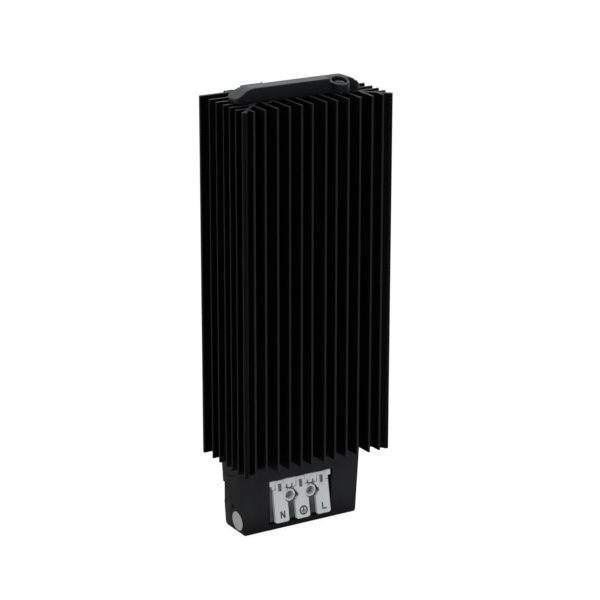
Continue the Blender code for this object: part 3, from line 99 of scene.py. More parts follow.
# Places that the frame gives
PROFILE_LOW, PROFILE_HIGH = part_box("heatsink_profile")
CAP_LOW, CAP_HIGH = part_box("top_cap")
SHELL_LOW, SHELL_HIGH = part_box("terminal_housing")
COVER_LOW, COVER_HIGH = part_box("housing_rear_cover")
BLOCK_LOW, BLOCK_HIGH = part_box("terminal_block")
FOOT_Z = PROFILE_LOW.z         # the profile's sawn foot, from which drops are measured
FACE_Y = SHELL_LOW.y           # the housing's front face

COVER_FRONT = COVER_LOW.y + 0.0021    # where the shell's sides end and the cover's begin

SIDES = (-1, 1)                # left and right
POLES = (("n", -1), ("earth", 0), ("l", 1))    # each pole's tag, and its place counted from the middle
PAST = 0.001                   # how far a cutter runs past the face it cuts
SINK = 0.0003                  # how far a joined shape runs into what carries it
WELD = 0.000002                # points nearer than this become one
HAIR = 0.00005                 # a step too thin to be seen, where two faces would lie in one place
FACET = math.radians(0.5)      # faces that turn by less than this become one
SHARP = math.radians(35)       # edges that turn by more than this can be rounded
GRAIN_ROUGHNESS = 0.55         # how much each finer layer of a grain adds


def middle_of(node):
    low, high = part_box(node)
    return (low + high) / 2


CONTACT_Y = middle_of("contact_bar_earth").y
WIRE_Y = CONTACT_Y - 0.0026    # the wires come up in front of the contact bars


def millimetres(label, text, value, low=0.0, high=0.2):
    """A length in metres, with its default given in millimetres."""
    return FloatProperty(name=label, description=text, default=value / 1000, min=low, max=high,
                         precision=5, unit="LENGTH")


def tint(label, text, value):
    return FloatVectorProperty(name=label, description=text, default=value, size=3, min=0.0, max=1.0,
                               subtype="COLOR")


class CapSizes(bpy.types.PropertyGroup):
    """Sizes of the moulded cap bar and its screw bosses."""

    out: millimetres("Front", "How far the bar's front stands before the core's front", 1.6)
    depth: millimetres("Depth", "Width of the bar from front to back", 9.7)
    back_slope: millimetres("Back slope", "Width of the slope along the rear top edge", 2.8)
    height: millimetres("Height", "Height of the level top over the profile", 6.0)
    end_shift: millimetres("End shift", "How far both ends of the bar stand to the left", 1.0)
    end_height: millimetres("End height", "Height of the bar's two ends", 1.9)
    shoulder_height: millimetres("Shoulder height", "Height where the end's slope meets the crown", 4.9)
    slope_length: millimetres("Slope length", "Length of the slope at each end", 4.0)
    crown_length: millimetres("Crown length", "Length of the curve from the slope to the level top", 4.4)
    corner_radius: millimetres("Corner radius", "Rounding of the bar's corners, seen from above", 2.6)
    boss_radius: millimetres("Boss radius", "Outer radius of a screw boss", 4.3)
    boss_blend: millimetres("Boss blend", "Hollow radius between the boss and the bar", 3.0)
    boss_height: millimetres("Boss height", "Height of the boss's rim over the screw", 4.9)
    boss_tilt: FloatProperty(name="Boss tilt", description="Slope of the boss's top, down from the bar",
                             default=math.radians(15), min=0.0, max=0.6, subtype="ANGLE")
    bore_radius: millimetres("Bore radius", "Radius of the bore over the screw's head", 3.1)
    screw_floor: millimetres("Screw floor", "Thickness of the cap under the screw's head", 2.2)
    hole_radius: millimetres("Hole radius", "Radius of the hole for the screw's shank", 1.75)
    softness: millimetres("Softness", "Size of the smallest rounding on the cap", 0.24, 0.00012, 0.001)


class HousingSizes(bpy.types.PropertyGroup):
    """Sizes of the terminal housing and its rear cover."""

    draft: millimetres("Draft", "How much each side leans in over the height", 2.1)
    wall: millimetres("Wall", "Thickness of the walls", 2.0)
    edge: millimetres("Edge", "Rounding of the small edges", 0.25)
    corner: millimetres("Corner", "Rounding of the upright edges", 1.2)
    side_foot: millimetres("Side foot", "Rounding of the foot's left and right edges", 1.0)
    rear_foot: millimetres("Rear foot", "Rounding of the foot's rear edge", 2.2)
    frame_height: millimetres("Frame height", "Height of the frame over the rear cover", 8.0)
    window_half: millimetres("Window half width", "Half of the terminal window's width", 15.4)
    window_drop: millimetres("Window drop", "Window's top edge below the profile", 10.3)
    window_sill: millimetres("Window sill", "Window's bottom edge above the foot", 2.6)
    entry_width: millimetres("Entry width", "Width of a wire entry", 6.6)
    entry_depth: millimetres("Entry depth", "Depth of a wire entry", 5.6)
    rib_back: millimetres("Rib", "Sill rib behind the housing's front", 2.1)
    rib_thickness: millimetres("Rib thickness", "Thickness of the sill rib", 1.2)
    catch_drop: millimetres("Catch drop", "Middle of the snap slot below the profile", 21.4)
    seam_depth: millimetres("Seam depth", "Depth of the groove along the seam", 0.8)
    panel_inset: millimetres("Panel inset", "Depth of the recessed panel on the back", 0.35)
    grip_depth: millimetres("Grip depth", "Depth of the recess along each rear edge", 0.45)
    sticker_drop: millimetres("Sticker drop", "How far the sticker stands below its CAD node", 0.8)
    sticker_front: millimetres("Sticker front", "How far the sticker stands in front of its CAD node", 0.5)


class BlockSizes(bpy.types.PropertyGroup):
    """Sizes of the three-pole terminal block."""

    pitch: millimetres("Pole pitch", "Distance from one pole to the next", 10.2)
    half: millimetres("Half width", "Half of the body's width", 13.7)
    beam_drop: millimetres("Beam foot", "Foot of the front beam below the profile", 14.6)
    beam_proud: millimetres("Beam depth", "How far the beam stands out from the body", 2.0)
    ear_height: millimetres("Ear height", "Height of an ear", 2.4)
    ear_reach: millimetres("Ear reach", "How far an ear stands out", 1.2)
    ring_drop: millimetres("Ring drop", "Ring's middle below the profile", 18.2)
    ring_shift: millimetres("Ring shift", "Ring's middle to the left of the middle between two poles", 0.25)
    ring_radius: millimetres("Ring radius", "Outer radius of a ring", 2.7)
    ring_hole: millimetres("Ring hole", "Radius of a ring's hole", 1.9)
    ring_length: millimetres("Ring length", "Length of the tube behind a ring", 4.5)
    channel_width: millimetres("Channel width", "Width of the hollow under a ring", 3.3)
    channel_depth: millimetres("Channel depth", "Depth of the hollow under a ring", 0.6)
    hook_width: millimetres("Hook width", "Width of the two notches over a ring", 0.95)
    edge: millimetres("Edge", "Rounding of the moulding's front edges", 0.06)


class LeverSizes(bpy.types.PropertyGroup):
    """Sizes of the push levers and their marks."""

    half: millimetres("Half width", "Half of a lever's width", 3.35)
    tongue_half: millimetres("Tongue half width", "Half of the tongue's width", 2.0)
    thickness: millimetres("Thickness", "Thickness of a lever", 1.4)
    top_drop: millimetres("Top", "Tongue's end below the profile", 10.8)
    foot_drop: millimetres("Foot", "Lever's foot below the profile", 29.0)
    pivot_drop: millimetres("Pivot drop", "Pivot below the profile", 13.4)
    pivot_back: millimetres("Pivot back", "Pivot behind the front face", 2.0)
    tilt: FloatProperty(name="Tilt", description="Lean of a lever at rest", default=math.radians(10.2),
                        min=0.0, max=0.5, subtype="ANGLE")
    corner: millimetres("Corner", "Rounding of the foot's corners", 1.0)
    window_width: millimetres("Window width", "Width of the small window", 1.7)
    window_height: millimetres("Window height", "Height of the small window", 3.3)
    window_depth: millimetres("Window depth", "Depth of the small window", 1.2)
    window_drop: millimetres("Window drop", "Small window's top below the profile", 12.2)
    edge: millimetres("Edge", "Rounding of a lever's front edges", 0.2)
    mark_height: millimetres("Mark height", "Height of the letters", 3.1)
    mark_stroke: millimetres("Mark stroke", "Stroke of the letters", 0.62)
    mark_drop: millimetres("Mark drop", "Middle of the marks below the profile", 25.75)
    mark_shift: millimetres("Mark shift", "Middle of the marks to the right of the lever's", 0.35)


class ScrewSizes(bpy.types.PropertyGroup):
    """Sizes of the pan-head screws."""

    head_radius: millimetres("Head radius", "Radius of the head", 2.7)
    head_height: millimetres("Head height", "Height of the head", 1.3)
    shank_radius: millimetres("Shank radius", "Radius of the shank over the thread", 1.45)
    thread_pitch: millimetres("Thread pitch", "Distance from one thread to the next", 0.6)
    thread_depth: millimetres("Thread depth", "Depth of the thread", 0.2)
    recess: millimetres("Recess", "Reach of the cross recess from the middle", 1.6)
    recess_width: millimetres("Recess width", "Width of one arm of the cross", 0.8)


class SpringSizes(bpy.types.PropertyGroup):
    """Sizes of the latch spring. Its length and width come from its node."""

    wire: millimetres("Wire", "Radius of the wire", 0.22)
    turns: IntProperty(name="Turns", description="Turns that work, without the closed one at each end",
                       default=5, min=1)


class Colours(bpy.types.PropertyGroup):
    """Colours of the finishes, as linear values."""

    anodised: tint("Anodised", "Black anodised aluminium", (0.0024, 0.0024, 0.0027))
    cap: tint("Cap", "Moulded cap", (0.0045, 0.0055, 0.0059))
    housing: tint("Housing", "Terminal housing and its cover", (0.0165, 0.0168, 0.0188))
    clip: tint("Clip", "Rail clip", (0.0062, 0.0064, 0.0072))
    block: tint("Block", "Terminal block", (0.600, 0.634, 0.634))
    lever: tint("Lever", "Push levers", (0.590, 0.622, 0.632))
    ink: tint("Ink", "Marks on the levers", (0.035, 0.042, 0.052))
    # Painted shade: the colour of the dark sheets put in the levers' small windows
    pocket: tint("Pocket", "Inside of the levers' small windows", (0.15, 0.155, 0.15))
    zinc: tint("Zinc", "Zinc-plated screws", (0.30, 0.30, 0.30))
    brass: tint("Brass", "Contacts and lug", (0.70, 0.52, 0.22))
    spring: tint("Spring", "Spring steel", (0.52, 0.52, 0.52))
    plate: tint("Plate", "Rolled aluminium plates", (0.70, 0.70, 0.71))
    film: tint("Film", "Insulating film", (0.50, 0.27, 0.05))
    ceramic: tint("Ceramic", "Heating elements", (0.22, 0.21, 0.20))
    live: tint("Live", "Live wire's jacket", (0.16, 0.07, 0.03))
    neutral: tint("Neutral", "Neutral wire's jacket", (0.03, 0.08, 0.35))
    earth: tint("Earth", "Earth wire's jacket", (0.12, 0.30, 0.04))
    label: tint("Label", "Round sticker", (0.35, 0.35, 0.34))
    floor: tint("Floor", "Floor", (0.88, 0.88, 0.88))


class StageSettings(bpy.types.PropertyGroup):
    """Camera, floor and light."""

    yaw: FloatProperty(name="Yaw", description="Camera's turn from the front towards the left",
                       default=math.radians(30.95), subtype="ANGLE")
    pitch: FloatProperty(name="Pitch", description="Camera's height over the horizon",
                         default=math.radians(17.71), subtype="ANGLE")
    roll: FloatProperty(name="Roll", description="Camera's roll", default=math.radians(0.058),
                        subtype="ANGLE")
    distance: FloatProperty(name="Distance", description="Camera to the point in the picture's middle",
                            default=0.974, min=0.1, unit="LENGTH")
    aim: FloatVectorProperty(name="Aim", description="Point in the picture's middle",
                             default=(-0.0092, -0.0465, -0.0038), size=3, subtype="TRANSLATION")
    lens: FloatProperty(name="Lens", description="Focal length on a 36 mm sensor", default=144.1,
                        min=10.0, unit="CAMERA")
    sky: FloatProperty(name="Sky", description="Strength of the even light from all round", default=0.78,
                       min=0.0)
    key: FloatProperty(name="Key lamp", description="Power of the large lamp above", default=3.2, min=0.0,
                       unit="POWER")
    fill: FloatProperty(name="Fill lamp", description="Power of the lamp on the right", default=1.0,
                        min=0.0, unit="POWER")
    floor_share: FloatProperty(name="Floor share", description="Share of plain white in the seen floor",
                               default=0.80, min=0.0, max=1.0, subtype="FACTOR")


class HeaterSettings(bpy.types.PropertyGroup):
    """All that a user would change."""

    cap: PointerProperty(type=CapSizes)
    housing: PointerProperty(type=HousingSizes)
    block: PointerProperty(type=BlockSizes)
    lever: PointerProperty(type=LeverSizes)
    screw: PointerProperty(type=ScrewSizes)
    spring: PointerProperty(type=SpringSizes)
    colours: PointerProperty(type=Colours)
    stage: PointerProperty(type=StageSettings)


# Shapes

def new_shape(name, mesh):
    shape = bpy.data.objects.new(name, mesh)
    bpy.context.scene.collection.objects.link(shape)
    return shape


def shape_from(name, bm):
    bmesh.ops.recalc_face_normals(bm, faces=bm.faces)
    mesh = bpy.data.meshes.new(name)
    bm.to_mesh(mesh)
    bm.free()
    return new_shape(name, mesh)


def around(middle, width):
    """The low and high value of a span of this width."""
    return (middle - width / 2, middle + width / 2)


def block_shape(name, x, y, z):
    """A block between two x, two y and two z values."""
    bm = bmesh.new()
    bmesh.ops.create_cube(bm, size=1.0)
    for vertex in bm.verts:
        vertex.co = [span[1] if value > 0 else span[0] for value, span in zip(vertex.co, (x, y, z))]
    return shape_from(name, bm)


def rod_shape(name, start, end, radius, end_radius=None, sides=48):
    """A round bar, or a cone, between two points."""
    start, end = Vector(start), Vector(end)
    bm = bmesh.new()
    bmesh.ops.create_cone(bm, cap_ends=True, segments=sides, radius1=radius,
                          radius2=radius if end_radius is None else end_radius,
                          depth=(end - start).length)
    turn = (end - start).to_track_quat("Z", "Y").to_matrix().to_4x4()
    bm.transform(Matrix.Translation((start + end) / 2) @ turn)
    return shape_from(name, bm)


def arc(center, radius, start, end, steps):
    """Points along an arc, angles in degrees."""
    angles = [math.radians(start + (end - start) * i / steps) for i in range(steps + 1)]
    return [(center[0] + radius * math.cos(a), center[1] + radius * math.sin(a)) for a in angles]


def circle(center, radius, steps=40):
    return arc(center, radius, 0, 360 - 360 / steps, steps - 1)


def rounded_rectangle(x, y, radius, steps=6):
    corners = (((x[1] - radius, y[1] - radius), 0), ((x[0] + radius, y[1] - radius), 90),
               ((x[0] + radius, y[0] + radius), 180), ((x[1] - radius, y[0] + radius), 270))
    points = []
    for center, start in corners:
        points += arc(center, radius, start, start + 90, steps)
    return points


def mirrored(right):
    """A closed outline from the points of its right-hand half."""
    return right + [(-u, v) for u, v in reversed(right)]


def add_line(curve, points, closed):
    """Add a line with straight sides to a curve."""
    spline = curve.splines.new("POLY")
    spline.points.add(len(points) - 1)
    for point, place in zip(spline.points, points):
        point.co = (*place, 1.0)
    spline.use_cyclic_u = closed


def made_mesh(obj):
    """The mesh that an object's modifiers or curve settings make."""
    bpy.context.view_layer.update()
    return bpy.data.meshes.new_from_object(obj.evaluated_get(bpy.context.evaluated_depsgraph_get()))


def use_up(curve):
    """Turn a curve into a mesh to work on, and remove the curve."""
    guide = new_shape(curve.name + "_guide", curve)
    mesh = made_mesh(guide)
    bm = bmesh.new()
    bm.from_mesh(mesh)
    bmesh.ops.remove_doubles(bm, verts=bm.verts, dist=WELD)
    bpy.data.objects.remove(guide)
    bpy.data.meshes.remove(mesh)
    bpy.data.curves.remove(curve)
    return bm


def prism(name, outlines, axis, low, high):
    """Flat outlines, the first one outer and the rest holes, given thickness along an axis.

    Along X an outline holds (y, z) pairs, along Y (x, z) pairs and along Z (x, y) pairs.
    """
    curve = bpy.data.curves.new(name, "CURVE")
    curve.dimensions = "2D"
    curve.fill_mode = "BOTH"
    curve.extrude = (high - low) / 2
    for outline in outlines:
        add_line(curve, [(u, v, 0.0) for u, v in outline], True)
    bm = use_up(curve)
    bmesh.ops.dissolve_limit(bm, angle_limit=FACET, verts=bm.verts, edges=bm.edges)
    turn = {"X": Matrix(((0, 0, 1), (1, 0, 0), (0, 1, 0))),
            "Y": Matrix(((1, 0, 0), (0, 0, -1), (0, 1, 0))),
            "Z": Matrix.Identity(3)}[axis]
    middle = Vector([(low + high) / 2 if letter == axis else 0.0 for letter in "XYZ"])
    bm.transform(Matrix.Translation(middle) @ turn.to_4x4())
    return shape_from(name, bm)


def wire_shape(name, points, radius):
    """A round wire through points, closed at both ends."""
    curve = bpy.data.curves.new(name, "CURVE")
    curve.dimensions = "3D"
    curve.bevel_depth = radius
    curve.bevel_resolution = 3
    curve.use_fill_caps = True
    add_line(curve, points, False)
    return shape_from(name, use_up(curve))


def settle(shape):
    """Replace a shape's mesh by what its modifiers make of it."""
    old, mesh = shape.data, made_mesh(shape)
    shape.modifiers.clear()
    shape.data = mesh
    mesh.name = shape.name
    bpy.data.meshes.remove(old)
    return shape


def combine(shape, operation, *others):
    """Cut, join or trim a shape, and remove what was used for it."""
    for other in others:
        step = shape.modifiers.new(other.name, "BOOLEAN")
        step.operation = operation
        step.solver = "EXACT"
        step.object = other
    settle(shape)
    for other in others:
        mesh = other.data
        bpy.data.objects.remove(other)
        bpy.data.meshes.remove(mesh)
    return shape


def cut(shape, *others):
    return combine(shape, "DIFFERENCE", *others)


def join(shape, *others):
    return combine(shape, "UNION", *others)


def round_edges(shape, width, segments, chosen):
    """Round the edges that chosen() picks from a shape's sharp ones."""
    bm = bmesh.new()
    bm.from_mesh(shape.data)
    edges = [e for e in bm.edges if e.calc_face_angle(0.0) > SHARP and chosen(e)]
    bmesh.ops.bevel(bm, geom=edges, offset=width, segments=segments, profile=0.5, affect="EDGES",
                    clamp_overlap=True)
    bm.to_mesh(shape.data)
    bm.free()
    return shape


def soften(shape, size, passes):
    """Rebuild a shape from small even faces and relax them, so that every edge is rounded."""
    rebuild = shape.modifiers.new("rebuild", "REMESH")
    rebuild.mode = "VOXEL"
    rebuild.voxel_size = size
    relax = shape.modifiers.new("relax", "SMOOTH")
    relax.factor = 0.5
    relax.iterations = passes
    return settle(shape)


def piece(shape, body, slot, material, *nodes, sharp=35):
    """Finish a shape as a piece that rides on a body and stands for CAD nodes.

    Its faces are shaded smooth up to the angle sharp, in degrees, or everywhere if that is 0.
    """
    shape.data.materials.clear()
    shape.data.materials.append(material)
    shape.data.shade_smooth()
    if sharp:
        shape.data.set_sharp_from_angle(angle=math.radians(sharp))
    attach(shape, body)
    if nodes:
        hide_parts(*nodes)
    return shape


def dress(node, material):
    """Give a CAD node its finish."""
    obj = frame["nodes"][node]
    obj.data.materials.clear()
    obj.data.materials.append(material)


# Finishes

def add_node(tree, kind, *inputs, **named):
    """Add a shader node. A socket given for an input is linked to it, and anything else is its value."""
    node = tree.nodes.new("ShaderNode" + kind)
    pairs = list(zip(node.inputs, inputs))
    pairs += [(node.inputs[name.replace("_", " ")], value) for name, value in named.items()]
    for target, value in pairs:
        if isinstance(value, bpy.types.NodeSocket):
            tree.links.new(value, target)
        else:
            target.default_value = value
    return node


def calculate(tree, operation, *values):
    """The result of one sum, whose values are sockets or numbers."""
    node = add_node(tree, "Math", *values)
    node.operation = operation
    return node.outputs["Value"]


def shade(colour, share):
    """A colour made lighter or darker."""
    return tuple(min(1.0, value * share) for value in colour)


class Finish:
    """One procedural material, built up from layers of grain."""

    def __init__(self, name, **sockets):
        self.material = bpy.data.materials.new(name)
        self.material.use_nodes = True
        self.tree = self.material.node_tree
        self.shader = self.tree.nodes["Principled BSDF"]
        self.normal = None
        for socket, value in sockets.items():
            self.shader.inputs[socket.replace("_", " ")].default_value = value

    def grain(self, across, detail=3.0):
        """Noise with this many cycles to a metre, all round or along X, Y and Z."""
        scale = across if isinstance(across, tuple) else (across,) * 3
        place = add_node(self.tree, "TexCoord").outputs["Object"]
        mapping = add_node(self.tree, "Mapping", Vector=place, Scale=scale)
        noise = add_node(self.tree, "TexNoise", Vector=mapping.outputs["Vector"], Scale=1.0, Detail=detail,
                         Roughness=GRAIN_ROUGHNESS)
        return noise.outputs["Fac"]

    def pebbles(self, across):
        """Rounded cells, as on a spark-eroded mould."""
        place = add_node(self.tree, "TexCoord").outputs["Object"]
        cells = add_node(self.tree, "TexVoronoi", Vector=place)
        cells.feature = "SMOOTH_F1"
        cells.inputs["Scale"].default_value = across
        return cells.outputs["Distance"]

    def facing(self, axis):
        """The share of a face's direction that points along an axis, either way, from 0 to 1."""
        way = add_node(self.tree, "NewGeometry").outputs["True Normal"]
        return self.size_of(add_node(self.tree, "SeparateXYZ", way).outputs[axis])

    def size_of(self, source):
        return calculate(self.tree, "ABSOLUTE", source)

    def place(self, axis):
        """The place along one axis of the row frame."""
        place = add_node(self.tree, "TexCoord").outputs["Object"]
        return add_node(self.tree, "SeparateXYZ", place).outputs[axis]

    def spread(self, source, low=0.0, high=1.0, start=0.3, end=0.7):
        """The source's values from start to end, laid out from low to high."""
        ramp = add_node(self.tree, "MapRange", Value=source, From_Min=start, From_Max=end, To_Min=low,
                        To_Max=high)
        return ramp.outputs["Result"]

    def ramp(self, source, start, end):
        """0 before start, 1 after end, and even between them."""
        return self.spread(source, 0.0, 1.0, start, end)

    def blend(self, share, first, second):
        """A mix of two colours, or of a colour and another mix."""
        mix = add_node(self.tree, "Mix", share)
        mix.data_type = "RGBA"
        for socket, value in (("A", first), ("B", second)):
            target = next(s for s in mix.inputs if s.name == socket and s.type == "RGBA")
            if isinstance(value, bpy.types.NodeSocket):
                self.tree.links.new(value, target)
            else:
                target.default_value = (*value, 1.0)
        return next(s for s in mix.outputs if s.type == "RGBA")

    def tones(self, source, colour, dark, light):
        """A colour that goes from a darker to a lighter share of itself with the source."""
        return self.blend(self.spread(source), shade(colour, dark), shade(colour, light))

    def mixed(self, share, first, second):
        """A mix of two number sources."""
        return add_node(self.tree, "Mix", Factor=share, A=first, B=second).outputs["Result"]

    def colour(self, source):
        self.tree.links.new(source, self.shader.inputs["Base Color"])

    def roughness(self, source):
        self.tree.links.new(source, self.shader.inputs["Roughness"])

    def relief(self, source, height):
        """Raise the surface by the source, over the relief that is there."""
        bump = add_node(self.tree, "Bump", Distance=height, Height=source)
        if self.normal:
            self.tree.links.new(self.normal, bump.inputs["Normal"])
        self.normal = bump.outputs["Normal"]
        self.tree.links.new(self.normal, self.shader.inputs["Normal"])


def anodised_finish(colour):
    """Black anodised extrusion: fine drawn lines along it, saw marks on its ends.

    The fins' front tips carry a painted highlight and the sawn ends a painted reflection, which make them paler,
    and the corner fins' outer ends carry painted shade, which makes them darker.
    """
    # Shares of the colour for the painted highlight on the front tips, the painted reflection on the sawn ends
    # and the painted shade on the corner fins
    tip_highlight_share, end_reflection_share, corner_shade_share = 5.6, 10.0, 0.2
    tip_from, tip_to = PROFILE_LOW.y + HAIR, PROFILE_LOW.y + 0.0004
    corner_from, corner_to = 0.0325, 0.0332
    finish = Finish("black_anodised", Specular_IOR_Level=0.055)
    drawn = finish.grain((2400, 2400, 7), 4.0)
    sawn = finish.grain((60, 3200, 600))
    clouds = finish.grain((70, 70, 22))
    end = finish.ramp(finish.facing("Z"), 0.85, 0.95)
    tip = finish.spread(finish.place("Y"), 1.0, 0.0, tip_from, tip_to)
    corner = finish.ramp(finish.size_of(finish.place("X")), corner_from, corner_to)
    skin = finish.tones(clouds, colour, 0.75, 1.25)
    # Paint the highlight on the tips, the shade on the corner fins and the reflection on the sawn ends
    for where, share in ((tip, tip_highlight_share), (corner, corner_shade_share), (end, end_reflection_share)):
        skin = finish.blend(where, skin, shade(colour, share))
    finish.colour(skin)
    finish.roughness(finish.mixed(end, finish.spread(drawn, 0.40, 0.54), finish.spread(sawn, 0.30, 0.42)))
    finish.relief(drawn, height=0.000008)
    finish.relief(sawn, height=0.000003)
    return finish.material


def cap_finish(colour):
    """Moulded cap: a fine grain with faint streaks along the bar, and a top painted paler as a sheen from the
    light above.
    """
    # Share of the colour for the painted sheen on the top
    top_sheen_share = 9.0
    finish = Finish("cap_plastic", Specular_IOR_Level=0.82, Specular_Tint=(0.10, 0.10, 0.10, 1.0))
    streaks = finish.grain((160, 2600, 2600), 4.0)
    pits = finish.pebbles(3800)
    clouds = finish.grain((90, 160, 160), 2.0)
    # Painted sheen: the faces that look up are painted paler, for the reflection of the light above
    painted_top_sheen = finish.ramp(finish.facing("Z"), 0.30, 0.80)
    skin = finish.tones(clouds, colour, 0.85, 1.2)
    finish.colour(finish.blend(painted_top_sheen, skin, shade(colour, top_sheen_share)))
    finish.roughness(finish.spread(streaks, 0.36, 0.48))
    finish.relief(pits, height=0.000012)
    finish.relief(streaks, height=0.000010)
    return finish.material


def moulded_finish(name, colour, grain_size, level, foot_z):
    """Dark moulded plastic with a spark-eroded grain, and painted shade that darkens its sides and the part near
    its foot.
    """
    # Shares of the colour for the painted shade on the sides and near the foot, and the height that the foot's
    # painted shade reaches
    side_shade_share, foot_shade_share, foot_shade_height = 0.24, 0.28, 0.009
    finish = Finish(name, Specular_IOR_Level=level)
    pits = finish.pebbles(1.0 / grain_size)
    flow = finish.grain((120, 120, 60))
    fine = finish.grain(5200, 2.0)
    skin = finish.tones(flow, colour, 0.88, 1.14)
    # Painted shade on the faces that look to the left or right
    skin = finish.blend(finish.ramp(finish.facing("X"), 0.40, 0.95), skin, shade(colour, side_shade_share))
    # Painted shade that darkens the part near the foot
    foot = finish.ramp(finish.place("Z"), foot_z, foot_z + foot_shade_height)
    finish.colour(finish.blend(foot, shade(colour, foot_shade_share), skin))
    finish.roughness(finish.spread(fine, 0.46, 0.60))
    finish.relief(pits, height=0.000014)
    finish.relief(fine, height=0.000004)
    return finish.material


def satin_grain(finish, colour):
    """The faint flow lines and fine grain of a light moulding. Returns its tones."""
    flow = finish.grain((260, 260, 90), 4.0)
    fine = finish.grain(3600)
    finish.roughness(finish.spread(fine, 0.38, 0.50))
    finish.relief(fine, height=0.000004)
    finish.relief(flow, height=0.000008)
    return finish.tones(flow, colour, 0.965, 1.02)


def lever_finish(colour):
    """The levers' light satin moulding."""
    finish = Finish("lever_plastic", Specular_IOR_Level=0.45)
    finish.colour(satin_grain(finish, colour))
    return finish.material


def block_finish(colour):
    """The terminal block's moulding, with painted shade that makes it darker towards the depth of its hollows
    and lower down in them.
    """
    # Shares of the colour for the painted shade: shallow, low down and deep inside the hollows
    shallow_shade_share, low_shade_share, inside_shade_share = 0.62, 0.20, 0.02
    finish = Finish("block_plastic", Specular_IOR_Level=0.40)
    skin = satin_grain(finish, colour)
    # Painted shade: darker lower down, behind the front face and deep inside the hollows
    low = finish.spread(finish.place("Z"), 1.0, 0.0, FOOT_Z - 0.0270, FOOT_Z - 0.0190)
    hollow = finish.blend(low, shade(colour, shallow_shade_share), shade(colour, low_shade_share))
    depth = finish.place("Y")
    deep_shade = finish.ramp(depth, FACE_Y + 0.0012, FACE_Y + 0.0019)
    inside = finish.ramp(depth, FACE_Y + 0.0021, FACE_Y + 0.0042)
    finish.colour(finish.blend(inside, finish.blend(deep_shade, skin, hollow), shade(colour, inside_shade_share)))
    return finish.material


def metal_finish(name, colour, roughness, across):
    """Plated, rolled or drawn metal, with lines along one way and a few spots of uneven tone."""
    finish = Finish(name, Metallic=1.0)
    lines = finish.grain(across, 4.0)
    spots = finish.grain(900)
    finish.colour(finish.tones(spots, colour, 0.86, 1.05))
    finish.roughness(finish.spread(lines, roughness - 0.06, roughness + 0.10))
    finish.relief(lines, height=0.000004)
    return finish.material


def steel_finish(name, colour):
    """Bright spring steel, drawn along Z."""
    return metal_finish(name, colour, 0.26, (2600, 2600, 500))


def plain_finish(name, colour, level, across, tones, roughness, height):
    """A surface whose tone, roughness and relief all follow one grain."""
    finish = Finish(name, Specular_IOR_Level=level)
    grain = finish.grain(across)
    finish.colour(finish.tones(grain, colour, *tones))
    finish.roughness(finish.spread(grain, *roughness))
    finish.relief(grain, height)
    return finish.material


def window_shade_finish(colour):
    """Painted shade for the inside of a small opening."""
    return plain_finish("pocket", colour, 0.2, 2600, (0.85, 1.15), (0.50, 0.65), 0.000004)


def jacket_finish(name, colour):
    """Smooth wire jacket with a faint ripple."""
    return plain_finish(name, colour, 0.5, (700, 700, 420), (0.9, 1.1), (0.38, 0.52), 0.000010)


def film_finish(colour):
    """Thin amber film, glossy and slightly wavy."""
    return plain_finish("film", colour, 0.5, (160, 160, 60), (0.85, 1.1), (0.16, 0.28), 0.000030)


def ink_finish(colour):
    """Pad-printed ink with slightly uneven cover."""
    return plain_finish("mark_ink", colour, 0.4, 5200, (1.0, 1.5), (0.42, 0.55), 0.000003)


def ceramic_finish(colour):
    """Fired ceramic: matt, with fine pores."""
    finish = Finish("ceramic", Specular_IOR_Level=0.3)
    pores = finish.pebbles(2600)
    body = finish.grain(500, 4.0)
    finish.colour(finish.tones(body, colour, 0.8, 1.2))
    finish.roughness(finish.spread(body, 0.68, 0.84))
    finish.relief(pores, height=0.000020)
    return finish.material


def label_finish(colour):
    """Bare label paper with a satin coat and fine fibres."""
    finish = Finish("label", Specular_IOR_Level=0.35)
    fibres = finish.grain((2600, 900, 2600), 4.0)
    tone = finish.grain(320, 2.0)
    finish.colour(finish.tones(tone, colour, 0.95, 1.03))
    finish.roughness(finish.spread(fibres, 0.44, 0.58))
    finish.relief(fibres, height=0.000004)
    return finish.material


# Cap

def cap_side(sizes, port_x, face_y, boss_y):
    """One long side of the cap seen from above, which faces -Y and has a boss near its right end."""
    radius = sizes.corner_radius
    corner_x, corner_y = CAP_HIGH.x - radius, face_y + radius
    blend_y = face_y - sizes.boss_blend
    span = sizes.boss_radius + sizes.boss_blend
    blend_x = port_x - math.sqrt(span ** 2 - (blend_y - boss_y) ** 2)
    turn = math.degrees(math.atan2(boss_y - blend_y, port_x - blend_x))
    leave = math.degrees(math.asin((face_y - boss_y) / sizes.boss_radius))
    path = arc((-corner_x, corner_y), radius, 180, 270, 10)
    path += arc((blend_x, blend_y), sizes.boss_blend, 90, turn, 10)
    path += arc((port_x, boss_y), sizes.boss_radius, 180 + turn, 360 + leave, 36)
    return path + arc((corner_x, corner_y), radius, 270, 360, 10)[:-1]


def cap_elevation(sizes):
    """The cap seen from the front: a low end, a slope, a crowned shoulder and a level top."""
    end = (CAP_HIGH.x - CAP_LOW.x) / 2
    slope = end - sizes.slope_length
    right = [(end + PAST, -PAST), (end + PAST, sizes.end_height), (end, sizes.end_height),
             (slope, sizes.shoulder_height)]
    rise = sizes.height - sizes.shoulder_height
    steps = 12
    for t in [(i + 1) / steps for i in range(steps)]:
        right.append((slope - sizes.crown_length * t, sizes.shoulder_height + rise * (1 - (1 - t) ** 2)))
    return [(x - sizes.end_shift, z + PROFILE_HIGH.z) for x, z in mirrored(right)]


